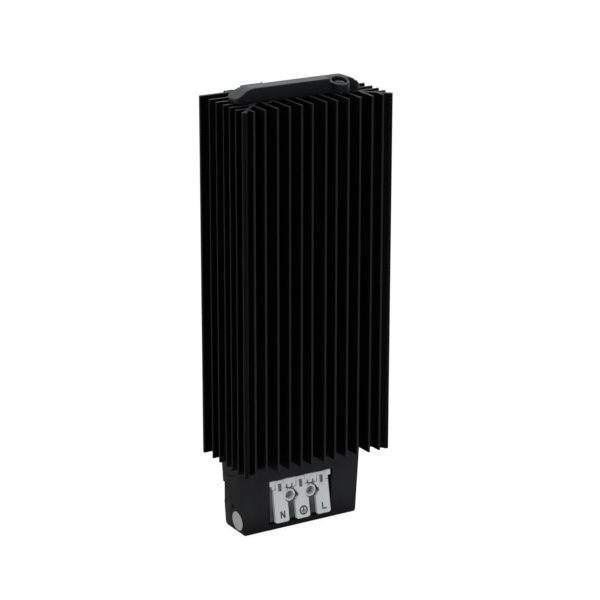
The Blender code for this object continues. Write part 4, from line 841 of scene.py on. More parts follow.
def make_cap(settings, material):
    """The moulded bar over the heating channel, with two screw bosses."""
    sizes = settings.cap
    front, rear = middle_of("cap_screw_front"), middle_of("cap_screw_rear")
    front_y = FACE_Y - sizes.out
    rear_y = front_y + sizes.depth
    plan = cap_side(sizes, front.x, front_y, front.y)
    plan += [(-x, -y) for x, y in cap_side(sizes, front.x, -rear_y, -rear.y)]
    plan = [(x - sizes.end_shift if abs(x) > CAP_HIGH.x - sizes.corner_radius - SINK else x, y)
            for x, y in plan]
    base_z, top_z = PROFILE_HIGH.z, PROFILE_HIGH.z + sizes.height
    cap = prism("cap_bar", [plan], "Z", base_z, top_z + PAST)
    combine(cap, "INTERSECT", prism("cap_front_view", [cap_elevation(sizes)], "Y",
                                    front_y - sizes.depth, rear_y + sizes.depth))
    slope = sizes.back_slope
    back = [(rear_y - slope - PAST, top_z + PAST), (rear_y + PAST, top_z + PAST),
            (rear_y + PAST, top_z - slope - PAST)]
    cut(cap, prism("back_slope", [back], "X", CAP_LOW.x - 3 * PAST, CAP_HIGH.x + PAST))
    join(cap, rod_shape("rear_boss", (rear.x, rear.y, base_z), (rear.x, rear.y, top_z), sizes.boss_radius))
    reach = sizes.boss_radius + SINK
    floor_z = CAP_LOW.z + sizes.screw_floor
    for tag, place, sign in (("front", front, 1), ("rear", rear, -1)):
        rim = block_shape("rim_slope", (-reach, reach), (-sizes.depth, sizes.depth), (0.0, sizes.depth))
        tilt = Matrix.Rotation(sign * sizes.boss_tilt, 4, "X")
        rim.data.transform(Matrix.Translation((place.x, place.y, base_z + sizes.boss_height)) @ tilt)
        bore = rod_shape("bore", (place.x, place.y, floor_z), (place.x, place.y, top_z + PAST),
                         sizes.bore_radius)
        hole = rod_shape("hole", (place.x, place.y, base_z - PAST), (place.x, place.y, floor_z + PAST),
                         sizes.hole_radius, sides=32)
        cut(cap, rim, bore, hole)
    soften(cap, sizes.softness, passes=5)
    return piece(cap, "heater_body", "cap_plastic", material, "top_cap", sharp=0)


# Screws

def lathe(name, outline, place, way, sides=40):
    """Turn (radius, height) points about an axis that starts at place and runs along way."""
    bm = bmesh.new()
    rings = []
    for radius, height in outline:
        if radius < WELD:
            rings.append([bm.verts.new((0.0, 0.0, height))])
            continue
        angles = [math.tau * i / sides for i in range(sides)]
        rings.append([bm.verts.new((radius * math.cos(a), radius * math.sin(a), height)) for a in angles])
    for low, high in zip(rings, rings[1:]):
        for i in range(sides):
            j = (i + 1) % sides
            if len(low) == 1:
                bm.faces.new((low[0], high[j], high[i]))
            elif len(high) == 1:
                bm.faces.new((low[i], low[j], high[0]))
            else:
                bm.faces.new((low[i], low[j], high[j], high[i]))
    turn = Vector(way).to_track_quat("Z", "Y").to_matrix().to_4x4()
    bm.transform(Matrix.Translation(place) @ turn)
    return shape_from(name, bm)


def pan_screw(name, node, way, sizes, material):
    """A pan-head screw with a cross recess and a cut thread, where its CAD node is."""
    crown_height = sizes.head_height * 0.92
    rim = 0.0001
    neck_radius, tip_radius = sizes.shank_radius * 0.8, sizes.shank_radius * 0.6
    recess_depth, recess_taper = sizes.head_height * 0.62, (0.35, 0.6)
    recess_turn = 20
    low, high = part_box(node)
    way = Vector(way)
    middle = (low + high) / 2
    axis = max(range(3), key=lambda i: abs(way[i]))
    seat, tip = middle.copy(), middle.copy()
    seat[axis], tip[axis] = (high[axis], low[axis]) if way[axis] < 0 else (low[axis], high[axis])
    length = (tip - seat).length
    head, radius = sizes.head_height, sizes.head_radius
    crown = arc((0.0, 0.0), 1.0, 90, 14, 10)
    outline = [(0.0, 0.0)] + [(radius * u, crown_height * (1 - v)) for u, v in crown[1:]]
    outline += [(radius, head - rim), (radius - rim, head), (sizes.shank_radius, head)]
    place = head + sizes.thread_pitch
    while place < length - 2 * sizes.thread_pitch:
        outline += [(sizes.shank_radius - sizes.thread_depth, place),
                    (sizes.shank_radius, place + sizes.thread_pitch / 2)]
        place += sizes.thread_pitch
    outline += [(neck_radius, length - sizes.thread_pitch), (tip_radius, length), (0.0, length)]
    screw = lathe(name, outline, seat, way, 36)
    turn = way.to_track_quat("Z", "Y").to_matrix().to_4x4()
    for quarter in (0, 90):
        slot = block_shape("recess", (-sizes.recess, sizes.recess), around(0.0, sizes.recess_width),
                           (-PAST, recess_depth))
        for vertex in slot.data.vertices:
            if vertex.co.z > 0:
                vertex.co.x *= recess_taper[0]
                vertex.co.y *= recess_taper[1]
        spin = Matrix.Rotation(math.radians(quarter + recess_turn), 4, "Z")
        slot.data.transform(Matrix.Translation(seat) @ turn @ spin)
        cut(screw, slot)
    return piece(screw, "heater_body", "zinc", material, node, sharp=40)


# Terminal housing

COVER_SPAN = (-0.04, 0.04)     # past both sides of the housing


def lean_at(sizes, drop):
    """Half of the housing's width at a distance below the profile."""
    return SHELL_HIGH.x - sizes.draft * drop / (FOOT_Z - SHELL_LOW.z)


def tapered_block(name, sizes, inset, y, z):
    """A block that narrows downwards with the housing's draft, inset from its sides."""
    block = block_shape(name, (-1.0, 1.0), y, z)
    for vertex in block.data.vertices:
        half = lean_at(sizes, FOOT_Z - vertex.co.z) - inset
        vertex.co.x = math.copysign(half, vertex.co.x)
    return block


def housing_form(name, sizes):
    """The outer form that the front shell and the rear cover share."""
    lean_gain = 0.00006        # brings the foot's rounding out to the leaning side
    upright = 0.008            # only the form's long edges are this tall
    rear, side, low_z, rear_y = sizes.rear_foot, sizes.side_foot, SHELL_LOW.z, COVER_HIGH.y
    outline = [(FACE_Y, SHELL_HIGH.z), (FACE_Y, low_z)]
    outline += arc((rear_y - rear, low_z + rear), rear, 270, 360, 8) + [(rear_y, SHELL_HIGH.z)]
    form = prism(name, [outline], "X", SHELL_LOW.x - PAST, SHELL_HIGH.x + PAST)
    foot_x = lean_at(sizes, FOOT_Z - low_z)
    lean = math.degrees(math.atan2(sizes.draft, FOOT_Z - low_z))
    right = [(lean_at(sizes, FOOT_Z - SHELL_HIGH.z), SHELL_HIGH.z + PAST)]
    right += arc((foot_x - side + lean_gain, low_z + side), side, -lean, -90, 8)
    combine(form, "INTERSECT", prism("front_view", [mirrored(right)], "Y", FACE_Y - PAST, rear_y + PAST))
    round_edges(form, sizes.corner, 4, lambda e: abs(e.verts[0].co.z - e.verts[1].co.z) > upright)
    round_edges(form, sizes.edge, 2, lambda e: max(v.co.z for v in e.verts) < SHELL_HIGH.z - PAST)
    return form


def housing_hollow(name, sizes):
    wall = sizes.wall
    return tapered_block(name, sizes, wall, (FACE_Y + wall, COVER_HIGH.y - wall),
                         (SHELL_LOW.z + wall, SHELL_HIGH.z - wall))


def groove(name, points, radius, sides=8):
    """A thin round bar along points, which leaves a groove where it is cut away."""
    bm = bmesh.new()
    rings = []
    points = [Vector(p) for p in points]
    for i, point in enumerate(points):
        way = (points[min(i + 1, len(points) - 1)] - points[max(i - 1, 0)]).normalized()
        turn = way.to_track_quat("Z", "Y").to_matrix()
        rings.append([bm.verts.new(point + turn @ Vector((radius * u, radius * v, 0.0)))
                      for u, v in circle((0.0, 0.0), 1.0, sides)])
    for low, high in zip(rings, rings[1:]):
        for i in range(sides):
            j = (i + 1) % sides
            bm.faces.new((low[i], low[j], high[j], high[i]))
    bm.faces.new(rings[0])
    bm.faces.new(rings[-1])
    return shape_from(name, bm)


def seam_end(side, sizes):
    """The groove in which the seam between the shell and the cover curves down on one side."""
    radius = 0.00038
    path = ((COVER_FRONT + SINK, 0.0), (-0.0243, 0.0005), (-0.0262, 0.0010), (-0.0272, 0.0016),
            (-0.0272, 0.0034))          # y, and how far the seam has risen
    points = []
    for y, rise in path:
        z = FOOT_Z - (sizes.frame_height - rise)
        points.append((side * lean_at(sizes, FOOT_Z - z), y, z))
    return groove("seam_end", points, radius)


def make_shell(settings, material):
    """The front shell, with the terminal window, the wire entries and the seam's end on its sides."""
    sizes = settings.housing
    wall = sizes.wall
    seam_z = FOOT_Z - sizes.frame_height
    front = (FACE_Y - PAST, FACE_Y + wall + PAST)
    roof = (SHELL_HIGH.z - wall - PAST, SHELL_HIGH.z + PAST)
    film_low, film_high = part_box("insulating_film")
    film_gap = 0.0002
    ear_x, ear_foot = (0.0145, 0.0160), 0.0136
    pack_x, earth_x = (-0.0145, 0.0145), (-0.0078, 0.0040)
    catch_y, catch_height = (COVER_FRONT - 0.0024, COVER_FRONT - 0.0008), 0.0015
    entry_corner = 0.0014
    shell = housing_form("housing_shell", sizes)
    window = block_shape("window", (-sizes.window_half, sizes.window_half), front,
                         (SHELL_LOW.z + sizes.window_sill, FOOT_Z - sizes.window_drop))
    ear_notch = block_shape("ear_notch", ear_x, front, (FOOT_Z - ear_foot, FOOT_Z - sizes.window_drop))
    cover_space = block_shape("cover_space", COVER_SPAN, (COVER_FRONT, COVER_HIGH.y + PAST),
                              (SHELL_LOW.z - PAST, seam_z))
    pack_slot = block_shape("pack_slot", pack_x, (film_low.y - film_gap, film_high.y + film_gap), roof)
    earth_slot = block_shape("earth_slot", earth_x, (film_high.y - film_gap, COVER_HIGH.y - wall + SINK), roof)
    cut(shell, housing_hollow("hollow", sizes), cover_space, window, ear_notch, pack_slot, earth_slot)
    screw = middle_of("housing_screw_right")
    for side in SIDES:
        x = side * screw.x
        hole = rod_shape("screw_hole", (x, screw.y, roof[0]), (x, screw.y, roof[1]),
                         settings.cap.hole_radius, sides=32)
        catch = block_shape("catch", sorted((side * (SHELL_HIGH.x - 5 * PAST), side * (SHELL_HIGH.x + PAST))),
                            catch_y, around(FOOT_Z - sizes.catch_drop, catch_height))
        cut(shell, hole, catch, seam_end(side, sizes))
    for tag, index in POLES:
        outline = rounded_rectangle(around(index * settings.block.pitch, sizes.entry_width),
                                    around(WIRE_Y, sizes.entry_depth), entry_corner)
        cut(shell, prism("entry", [outline], "Z", SHELL_LOW.z - PAST, SHELL_LOW.z + wall + PAST))
    return piece(shell, "heater_body", "dark_plastic", material, "terminal_housing")


def make_cover(settings, material):
    """The rear cover, with a lip that reaches into the shell and a shallow panel on its back."""
    sizes = settings.housing
    gap = 0.0003               # between the cover and the shell
    lip_reach, lip_gap, lip_inset = 0.0018, HAIR, 0.0007
    seal_step = 0.00002        # the seam's floor stands this far in front of the shell's end
    panel_half, panel_foot, panel_drop, panel_corner = 0.0215, 0.0060, 0.0038, 0.0016
    grip_middle, grip_z, grip_reach = 0.0166, (FOOT_Z - 0.0210, FOOT_Z - 0.0123), 0.0022
    seam_z = FOOT_Z - sizes.frame_height
    low_z = SHELL_LOW.z
    cover = housing_form("housing_cover", sizes)
    keep = block_shape("keep", COVER_SPAN, (COVER_FRONT + gap, COVER_HIGH.y + PAST),
                       (low_z - PAST, seam_z - gap))
    combine(cover, "INTERSECT", keep)
    cut(cover, housing_hollow("hollow", sizes))
    rear = COVER_FRONT + lip_reach
    inner = sizes.wall + lip_inset
    for front, outer in ((COVER_FRONT - lip_reach, sizes.wall + lip_gap),
                         (COVER_FRONT - seal_step, sizes.seam_depth)):
        lip = tapered_block("lip", sizes, outer, (front, rear), (low_z + outer, seam_z - gap))
        cut(lip, tapered_block("lip_hollow", sizes, inner, (front - PAST, rear + PAST),
                               (low_z + inner, seam_z + PAST)))
        join(cover, lip)
    outline = rounded_rectangle((-panel_half, panel_half), (low_z + panel_foot, seam_z - panel_drop),
                                panel_corner)
    cut(cover, prism("panel", [outline], "Y", COVER_HIGH.y - sizes.panel_inset, COVER_HIGH.y + PAST))
    for side in SIDES:
        face = lean_at(sizes, grip_middle) - sizes.grip_depth
        cut(cover, block_shape("grip", sorted((side * face, side * (face + 3 * PAST))),
                               (COVER_HIGH.y - grip_reach, COVER_HIGH.y + PAST), grip_z))
    return piece(cover, "heater_body", "dark_plastic", material, "housing_rear_cover")


# Terminal block

def cut_rings(body, settings, beam_z, ring_z):
    """Cut what lies round the two rings: their seats, the hollow below and the openings beside them."""
    sizes = settings.block
    body_y = FACE_Y + sizes.beam_proud
    spot_x, spot_depth, spot_height, spot_drop = (0.0032, 0.0046), 0.006, 0.0018, 0.0001
    hook_x, hook_drop, hook_depth, hook_corner = (-0.00125, 0.00135), (0.0149, 0.0131), 0.0014, 0.0002
    for side in SIDES:
        middle = side * sizes.pitch / 2
        x = middle - sizes.ring_shift
        cut(body, block_shape("channel", around(middle, sizes.channel_width),
                              (body_y - PAST, body_y + sizes.channel_depth), (BLOCK_LOW.z - PAST, beam_z)))
        seat = rod_shape("ring_seat", (x, body_y - PAST, ring_z), (x, FACE_Y + sizes.ring_length, ring_z),
                         sizes.ring_hole + SINK)
        spot = block_shape("spot", [middle + part for part in spot_x], (body_y - PAST, FACE_Y + spot_depth),
                           around(ring_z - spot_drop, spot_height))
        cut(body, seat, spot)
        for step in hook_x:
            hook = rounded_rectangle(around(x + step, sizes.hook_width), [FOOT_Z - drop for drop in hook_drop],
                                     hook_corner, 3)
            cut(body, prism("hook", [hook], "Y", FACE_Y - PAST, FACE_Y + hook_depth))


def cut_pole(body, settings, x, beam_z):
    """Cut one pole's openings: its slot, cavity, pivot, wire entry and the contact bar's way."""
    sizes, lever = settings.block, settings.lever
    body_y, top_z = FACE_Y + sizes.beam_proud, BLOCK_HIGH.z
    slot_gaps, slot_depth, slot_step = (0.00022, 0.00008), 0.0019, 0.0012
    cavity_width, cavity_front, cavity_foot, cavity_top = 0.0062, 0.0016, 0.0019, 0.0018
    pin_reach, pin_radius = lever.tongue_half + 0.0012, 0.0009
    funnel_radius, funnel_height = 0.0019, 0.0029
    mouth_radius, mouth_z = 0.0026, (BLOCK_LOW.z - 0.0003, BLOCK_LOW.z + 0.001)
    way_width, way_depth, way_drop = 0.0046, 0.0016, 0.0028
    pivot_y, pivot_z = FACE_Y + lever.pivot_back, FOOT_Z - lever.pivot_drop
    slot = block_shape("slot", (x - lever.tongue_half - slot_gaps[0], x + lever.tongue_half + slot_gaps[1]),
                       (FACE_Y - PAST, body_y + slot_depth), (beam_z - slot_step, top_z + PAST))
    cavity = block_shape("cavity", around(x, cavity_width), (body_y + cavity_front, BLOCK_HIGH.y + PAST),
                         (BLOCK_LOW.z + cavity_foot, top_z - cavity_top))
    pin = rod_shape("pin_hole", (x - pin_reach, pivot_y, pivot_z), (x + pin_reach, pivot_y, pivot_z),
                    pin_radius, sides=24)
    funnel = rod_shape("funnel", (x, WIRE_Y, BLOCK_LOW.z - PAST), (x, WIRE_Y, BLOCK_LOW.z + funnel_height),
                       funnel_radius)
    mouth = rod_shape("mouth", (x, WIRE_Y, mouth_z[0]), (x, WIRE_Y, mouth_z[1]), mouth_radius, funnel_radius)
    way = block_shape("way", around(x, way_width), around(CONTACT_Y, way_depth),
                      (top_z - way_drop, top_z + PAST))
    cut(body, slot, cavity, pin, funnel, mouth, way)


def ring_shape(name, place, sizes):
    """A tube with a rounded front, closed at its rear."""
    soft = 0.0002
    length = sizes.ring_length + SINK
    floor = length * 0.9
    outer, inner = sizes.ring_radius, sizes.ring_hole
    outline = [(0.0, floor), (inner, floor)]
    outline += arc((inner + soft, soft), soft, 180, 270, 4) + arc((outer - soft, soft), soft, 270, 360, 4)
    outline += [(outer, length), (0.0, length)]
    return lathe(name, outline, place, (0, 1, 0), 48)


def make_block(settings, material):
    """The moulded body of the three-pole terminal block."""
    sizes = settings.block
    body_y, top_z = FACE_Y + sizes.beam_proud, BLOCK_HIGH.z
    beam_z, ring_z = FOOT_Z - sizes.beam_drop, FOOT_Z - sizes.ring_drop
    half, ear_half = sizes.half, sizes.half + sizes.ear_reach
    rib_y = FACE_Y + settings.housing.rib_back
    on_face = FACE_Y + 0.00002         # nothing behind this lies on the front face
    body = block_shape("block_body", (-half, half), (body_y, BLOCK_HIGH.y), (BLOCK_LOW.z, top_z))
    beam = block_shape("beam", (-half, half), (FACE_Y, body_y + SINK), (beam_z, top_z))
    ears = block_shape("ears", (-ear_half, ear_half), (FACE_Y, body_y + SINK), (top_z - sizes.ear_height, top_z))
    rib = block_shape("sill_rib", (-half, half), (rib_y, rib_y + settings.housing.rib_thickness),
                      (SHELL_LOW.z + settings.housing.wall - SINK, BLOCK_LOW.z + SINK))
    join(body, beam, ears, rib)
    cut_rings(body, settings, beam_z, ring_z)
    for tag, index in POLES:
        cut_pole(body, settings, index * sizes.pitch, beam_z)
    round_edges(body, sizes.edge, 2, lambda e: all(v.co.y < on_face for v in e.verts))
    for side in SIDES:
        join(body, ring_shape("ring", (side * sizes.pitch / 2 - sizes.ring_shift, BLOCK_LOW.y, ring_z), sizes))
    return piece(body, "heater_body", "block_plastic", material, "terminal_block")


# Levers

RING_GAP = 0.0005              # between a lever and the ring beside it


def lever_outline(settings, rings):
    """A push lever seen from the front, with a hollow beside each ring of the block."""
    sizes, block = settings.lever, settings.block
    step = -(block.beam_drop + 0.00008)
    hollow = block.ring_radius + RING_GAP
    offset = block.pitch / 2
    rise = math.degrees(math.acos((offset - sizes.half) / hollow))

    def flank(side):
        points = [(side * sizes.half, step)]
        if side in rings:
            bow = arc((0.0, -block.ring_drop), hollow, rise, -rise, 20)
            points += [(side * (offset - x), z) for x, z in bow]
        return points

    corner = sizes.corner
    foot = arc((sizes.half - corner, -sizes.foot_drop + corner), corner, 0, -90, 8)
    tongue = [(-sizes.tongue_half, step), (-sizes.tongue_half, -sizes.top_drop),
              (sizes.tongue_half, -sizes.top_drop), (sizes.tongue_half, step)]
    return flank(1) + mirrored(foot) + flank(-1)[::-1] + tongue


def in_pole(shape, settings, index):
    """Stand a shape that lies in a lever's plane in its pole, tilted as at rest."""
    sizes = settings.lever
    proud = 0.0001             # a lever's face before the housing's
    bend = Matrix.Translation((0.0, 0.0, -sizes.pivot_drop))
    tilt = bend @ Matrix.Rotation(-sizes.tilt, 4, "X") @ bend.inverted()
    shape.data.transform(Matrix.Translation((index * settings.block.pitch, FACE_Y - proud, FOOT_Z)) @ tilt)
    return shape


def small_window(sizes, margin):
    """The outline of a lever's small window, with a margin all round."""
    corner, shift = 0.0002, 0.0001
    return rounded_rectangle(around(shift, sizes.window_width + 2 * margin),
                             (-sizes.window_drop - sizes.window_height - margin, -sizes.window_drop + margin),
                             corner, 3)


def make_lever(settings, tag, index, material):
    """One push lever with its barrel, pins and toe."""
    sizes, block = settings.lever, settings.block
    undercut_reach, undercut_front, undercut_height = 0.0016, 0.0004, 0.0020
    notch_reach, notch_height, notch_drop = 0.00045, 0.0016, 0.0001
    barrel_radius, pin_radius, pin_reach = 0.0011, 0.0007, sizes.tongue_half + 0.0009
    toe_width, toe_reach, toe_height = 0.0026, 0.0032, 0.0013
    back = sizes.thickness + PAST
    ring_z = -block.ring_drop
    rings = [side for side in SIDES if abs(index + side / 2) < 1]
    lever = prism("lever_" + tag, [lever_outline(settings, rings)], "Y", 0.0, sizes.thickness)
    cut(lever, prism("small_window", [small_window(sizes, 0.0)], "Y", -PAST, sizes.window_depth))
    if -1 in rings:
        edge = block.ring_radius + RING_GAP - block.pitch / 2
        cut(lever, block_shape("undercut", (edge - PAST, edge + undercut_reach), (undercut_front, back),
                               around(ring_z, undercut_height)),
            block_shape("notch", (edge - PAST, edge + notch_reach), (-PAST, back),
                        around(ring_z - notch_drop, notch_height)))
    top = -(block.beam_drop + 0.0003)
    round_edges(lever, sizes.edge, 3, lambda e: all(v.co.y < WELD and v.co.z < top for v in e.verts))
    in_pole(lever, settings, index)
    x, y, z = index * block.pitch, FACE_Y + sizes.pivot_back, FOOT_Z - sizes.pivot_drop
    barrel = rod_shape("barrel", (x - sizes.tongue_half, y, z), (x + sizes.tongue_half, y, z), barrel_radius,
                       sides=32)
    pin = rod_shape("pin", (x - pin_reach, y, z), (x + pin_reach, y, z), pin_radius, sides=24)
    toe = block_shape("toe", around(x, toe_width), (y, y + toe_reach), (z - toe_height, z))
    join(lever, barrel, pin, toe)
    return piece(lever, "lever_" + tag, "lever_plastic", material, "push_lever_" + tag)


def make_window_shade(settings, tag, index, material):
    """A dark sheet on the floor of a lever's small window, which paints the shade there."""
    sizes = settings.lever
    pocket = prism("pocket_" + tag, [small_window(sizes, HAIR)], "Y", sizes.window_depth * 0.45,
                   sizes.window_depth + HAIR)
    return piece(in_pole(pocket, settings, index), "lever_" + tag, "", material)


def letter_strokes(letter, height, stroke):
    """The outline of a plain letter about its middle, as (x, z) points."""
    top, foot = height / 2, -height / 2
    if letter == "L":
        half = height * 0.36
        return [[(-half, top), (-half + stroke, top), (-half + stroke, foot + stroke),
                 (half, foot + stroke), (half, foot), (-half, foot)]]
    half, slant, point = height * 0.38, stroke * 1.22, stroke * 2.0
    return [[(-half, foot), (-half, top), (-half + slant, top), (half - stroke, foot + point),
             (half - stroke, top), (half, top), (half, foot), (half - slant, foot),
             (-half + stroke, top - point), (-half + stroke, foot)]]


def earth_strokes(height, stroke):
    """The protective earth sign: an earth sign in a ring."""
    radius, thin = height * 0.66, stroke * 1.05
    level, stem_top, bar = height * 0.02, radius * 0.62, thin * 0.56
    bar_step, bar_halves = radius * 0.27, (0.62, 0.40, 0.18)

    def upright_box(half, low, high):
        return [[(-half, low), (-half, high), (half, high), (half, low)]]

    shapes = [[circle((0.0, 0.0), radius), circle((0.0, 0.0), radius - thin)[::-1]],
              upright_box(thin / 2, level, stem_top)]
    for row, share in enumerate(bar_halves):
        z = level - row * bar_step
        shapes.append(upright_box(share * radius, z - bar, z))
    return shapes


def make_mark(settings, tag, index, material):
    """The printed mark near a lever's foot."""
    sizes = settings.lever
    print_y = (-HAIR, 0.00003)
    if tag == "earth":
        shapes = earth_strokes(sizes.mark_height, sizes.mark_stroke)
    else:
        shapes = [letter_strokes(tag.upper(), sizes.mark_height, sizes.mark_stroke)]
    placed = [[[(u + sizes.mark_shift, v - sizes.mark_drop) for u, v in line] for line in lines]
              for lines in shapes]
    mark = prism("mark_" + tag, placed[0], "Y", *print_y)
    for lines in placed[1:]:
        join(mark, prism("bar", lines, "Y", *print_y))
    return piece(in_pole(mark, settings, index), "lever_" + tag, "", material)


# Sticker

def make_sticker(settings, material):
    """The small round sticker, bare, with a soft rim."""
    low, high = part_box("inspection_sticker")
    sizes = settings.housing
    lean = math.atan2(sizes.draft, FOOT_Z - SHELL_LOW.z)
    middle = (low + high) / 2 + Vector((math.tan(lean) * sizes.sticker_drop, -sizes.sticker_front,
                                        -sizes.sticker_drop))
    out = Vector((-math.cos(lean), 0.0, -math.sin(lean)))
    radius = (high.y - low.y) / 2
    thick = 0.00024
    rim = arc((radius - thick, 0.0), thick, 0, 90, 5)
    outline = [(0.0, 0.0)] + rim + [(radius / 2, thick), (0.0, thick)]
    sticker = lathe("round_sticker", outline, middle - out * thick / 2, out, 64)
    return piece(sticker, "heater_body", "label", material, "inspection_sticker", sharp=60)


# Latch spring

def make_spring(sizes, material):
    """The coil in the latch's window, built at its node's length, though the real coil grows shorter as the
    latch is let down.
    """
    steps = 24                 # points to a turn
    low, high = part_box("latch_spring")
    middle, length = (low + high) / 2, high.z - low.z
    radius = (high.x - low.x) / 2 - sizes.wire
    closed = 2 * sizes.wire    # rise of the turn at each end, whose wire lies on itself
    pitch = (length - 2 * sizes.wire - 2 * closed) / sizes.turns
    points, z = [], low.z + sizes.wire
    for i in range((sizes.turns + 2) * steps + 1):
        angle = math.tau * i / steps
        points.append((middle.x + radius * math.cos(angle), middle.y + radius * math.sin(angle), z))
        at_end = i < steps or i >= (sizes.turns + 1) * steps
        z += (closed if at_end else pitch) / steps
    coil = piece(wire_shape("latch_coil", points, sizes.wire), "heater_body", "spring_steel", material,
                 "latch_spring", sharp=50)
    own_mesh(coil)
    return coil


# Operators

def current():
    return bpy.context.scene.heater


class HEATER_OT_finish_profile(bpy.types.Operator):
    """Give the finned extrusion its anodised finish"""

    bl_idname = "heater.finish_profile"
    bl_label = "Finish profile"

    def execute(self, context):
        dress("heatsink_profile", anodised_finish(current().colours.anodised))
        return {"FINISHED"}


class HEATER_OT_make_cap(bpy.types.Operator):
    """Build the moulded cap bar"""

    bl_idname = "heater.make_cap"
    bl_label = "Cap"

    def execute(self, context):
        make_cap(current(), cap_finish(current().colours.cap))
        return {"FINISHED"}


class HEATER_OT_make_screws(bpy.types.Operator):
    """Build the pan-head screws"""

    bl_idname = "heater.make_screws"
    bl_label = "Screws"

    def execute(self, context):
        settings = current()
        down, up, forward = (0, 0, -1), (0, 0, 1), (0, -1, 0)
        zinc = metal_finish("zinc", settings.colours.zinc, 0.30, 1400)
        # Painted shade: the cap screws sit deep in their bores, so they get a much darker copy of the zinc
        bore_shade_zinc = metal_finish("painted_bore_shade_zinc", shade(settings.colours.zinc, 0.15), 0.24, 1400)
        for name, way, material in (
                ("cap_screw_front", down, bore_shade_zinc), ("cap_screw_rear", down, bore_shade_zinc),
                ("housing_screw_left", up, zinc), ("housing_screw_right", up, zinc),
                ("earth_screw", up, zinc),
                ("clip_screw_left", forward, zinc), ("clip_screw_right", forward, zinc)):
            pan_screw("pan_" + name, name, way, settings.screw, material)
        return {"FINISHED"}


class HEATER_OT_make_housing(bpy.types.Operator):
    """Build the terminal housing's front shell and rear cover"""

    bl_idname = "heater.make_housing"
    bl_label = "Housing"

    def execute(self, context):
        settings = current()
        plastic = moulded_finish("dark_plastic", settings.colours.housing, grain_size=0.00030, level=0.044,
                                 foot_z=SHELL_LOW.z)
        make_shell(settings, plastic)
        make_cover(settings, plastic)
        return {"FINISHED"}


class HEATER_OT_make_block(bpy.types.Operator):
    """Build the terminal block's moulded body"""

    bl_idname = "heater.make_block"
    bl_label = "Terminal block"

    def execute(self, context):
        make_block(current(), block_finish(current().colours.block))
        return {"FINISHED"}


class HEATER_OT_make_levers(bpy.types.Operator):
    """Build the three push levers and their marks"""

    bl_idname = "heater.make_levers"
    bl_label = "Push levers"

    def execute(self, context):
        settings = current()
        plastic = lever_finish(settings.colours.lever)
        ink = ink_finish(settings.colours.ink)
        # Painted shade for the floor of each small window
        dark = window_shade_finish(settings.colours.pocket)
        for tag, index in POLES:
            make_lever(settings, tag, index, plastic)
            make_window_shade(settings, tag, index, dark)
            make_mark(settings, tag, index, ink)
        return {"FINISHED"}


class HEATER_OT_make_sticker(bpy.types.Operator):
    """Build the round sticker on the left side"""

    bl_idname = "heater.make_sticker"
    bl_label = "Sticker"

    def execute(self, context):
        make_sticker(current(), label_finish(current().colours.label))
        return {"FINISHED"}


class HEATER_OT_finish_clip(bpy.types.Operator):
    """Give the rail clip and its latch their finish"""

    bl_idname = "heater.finish_clip"
    bl_label = "Rail clip"

    def execute(self, context):
        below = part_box("rail_clip_latch")[0].z - 0.02      # so far down that the painted shade near the foot reaches no part of the clip
        plastic = moulded_finish("clip_plastic", current().colours.clip, grain_size=0.00028, level=0.10,
                                 foot_z=below)
        for node in ("rail_clip_base", "rail_clip_latch"):
            dress(node, plastic)
            soft = frame["nodes"][node].modifiers.new("soft edges", "BEVEL")
            soft.width = 0.0002
            soft.segments = 2
            soft.limit_method = "ANGLE"
            soft.angle_limit = math.radians(40)
        return {"FINISHED"}


class HEATER_OT_make_spring(bpy.types.Operator):
    """Build the latch's coil spring"""

    bl_idname = "heater.make_spring"
    bl_label = "Latch spring"

    def execute(self, context):
        settings = current()
        make_spring(settings.spring, steel_finish("spring_wire", settings.colours.spring))
        return {"FINISHED"}


class HEATER_OT_finish_inside(bpy.types.Operator):
    """Give the contacts, springs, heating pack and wires their finishes"""

    bl_idname = "heater.finish_inside"
    bl_label = "Inside pieces"

    def execute(self, context):
        colours = current().colours
        brass = metal_finish("brass", colours.brass, 0.30, (1800, 1800, 60))
        steel = steel_finish("spring_steel", colours.spring)
        plate = metal_finish("plate_aluminium", colours.plate, 0.36, (2200, 2200, 50))
        ceramic = ceramic_finish(colours.ceramic)
        film = film_finish(colours.film)
        finishes = {"insulating_film": film, "electrode_front": plate, "electrode_rear": plate,
                    "clamp_plate": plate, "earth_lug": brass}
        for wire in ("live", "neutral", "earth"):
            finishes[wire + "_wire"] = jacket_finish(wire + "_jacket", getattr(colours, wire))
        for tag, index in POLES:
            finishes["contact_bar_" + tag] = brass
            finishes["clamp_spring_" + tag] = steel
        for number in range(1, 5):
            finishes[f"heating_element_{number}"] = ceramic
        for node, material in finishes.items():
            dress(node, material)
        return {"FINISHED"}


# Stage

def seen_by_camera(tree):
    """1 for what the camera sees straight, in gloss or through glass, and 0 for plain light."""
    rays = add_node(tree, "LightPath").outputs
    straight_or_gloss = calculate(tree, "MAXIMUM", rays["Is Camera Ray"], rays["Is Glossy Ray"])
    return calculate(tree, "MAXIMUM", straight_or_gloss, rays["Is Transmission Ray"])


def floor_material(colour, share):
    """Pale floor that looks white to the camera and keeps a soft shadow."""
    glow = 1.12
    finish = Finish("floor", Roughness=0.9, Specular_IOR_Level=0.1)
    tree = finish.tree
    finish.colour(finish.tones(finish.grain(30), colour, 0.98, 1.0))
    light = add_node(tree, "Emission", Strength=glow).outputs["Emission"]
    part = calculate(tree, "MULTIPLY", seen_by_camera(tree), share)
    mix = add_node(tree, "MixShader", part, finish.shader.outputs["BSDF"], light)
    tree.links.new(mix.outputs["Shader"], tree.nodes["Material Output"].inputs["Surface"])
    return finish.material


def make_world(stage):
    """Even light from all round, and white where the camera sees it."""
    world = bpy.data.worlds.new("studio")
    bpy.context.scene.world = world
    world.use_nodes = True
    tree = world.node_tree
    tree.nodes.clear()
    light, seen = [add_node(tree, "Background", (1.0, 1.0, 1.0, 1.0), strength).outputs["Background"]
                   for strength in (stage.sky, 1.0)]
    mix = add_node(tree, "MixShader", seen_by_camera(tree), light, seen)
    add_node(tree, "OutputWorld", mix.outputs["Shader"])


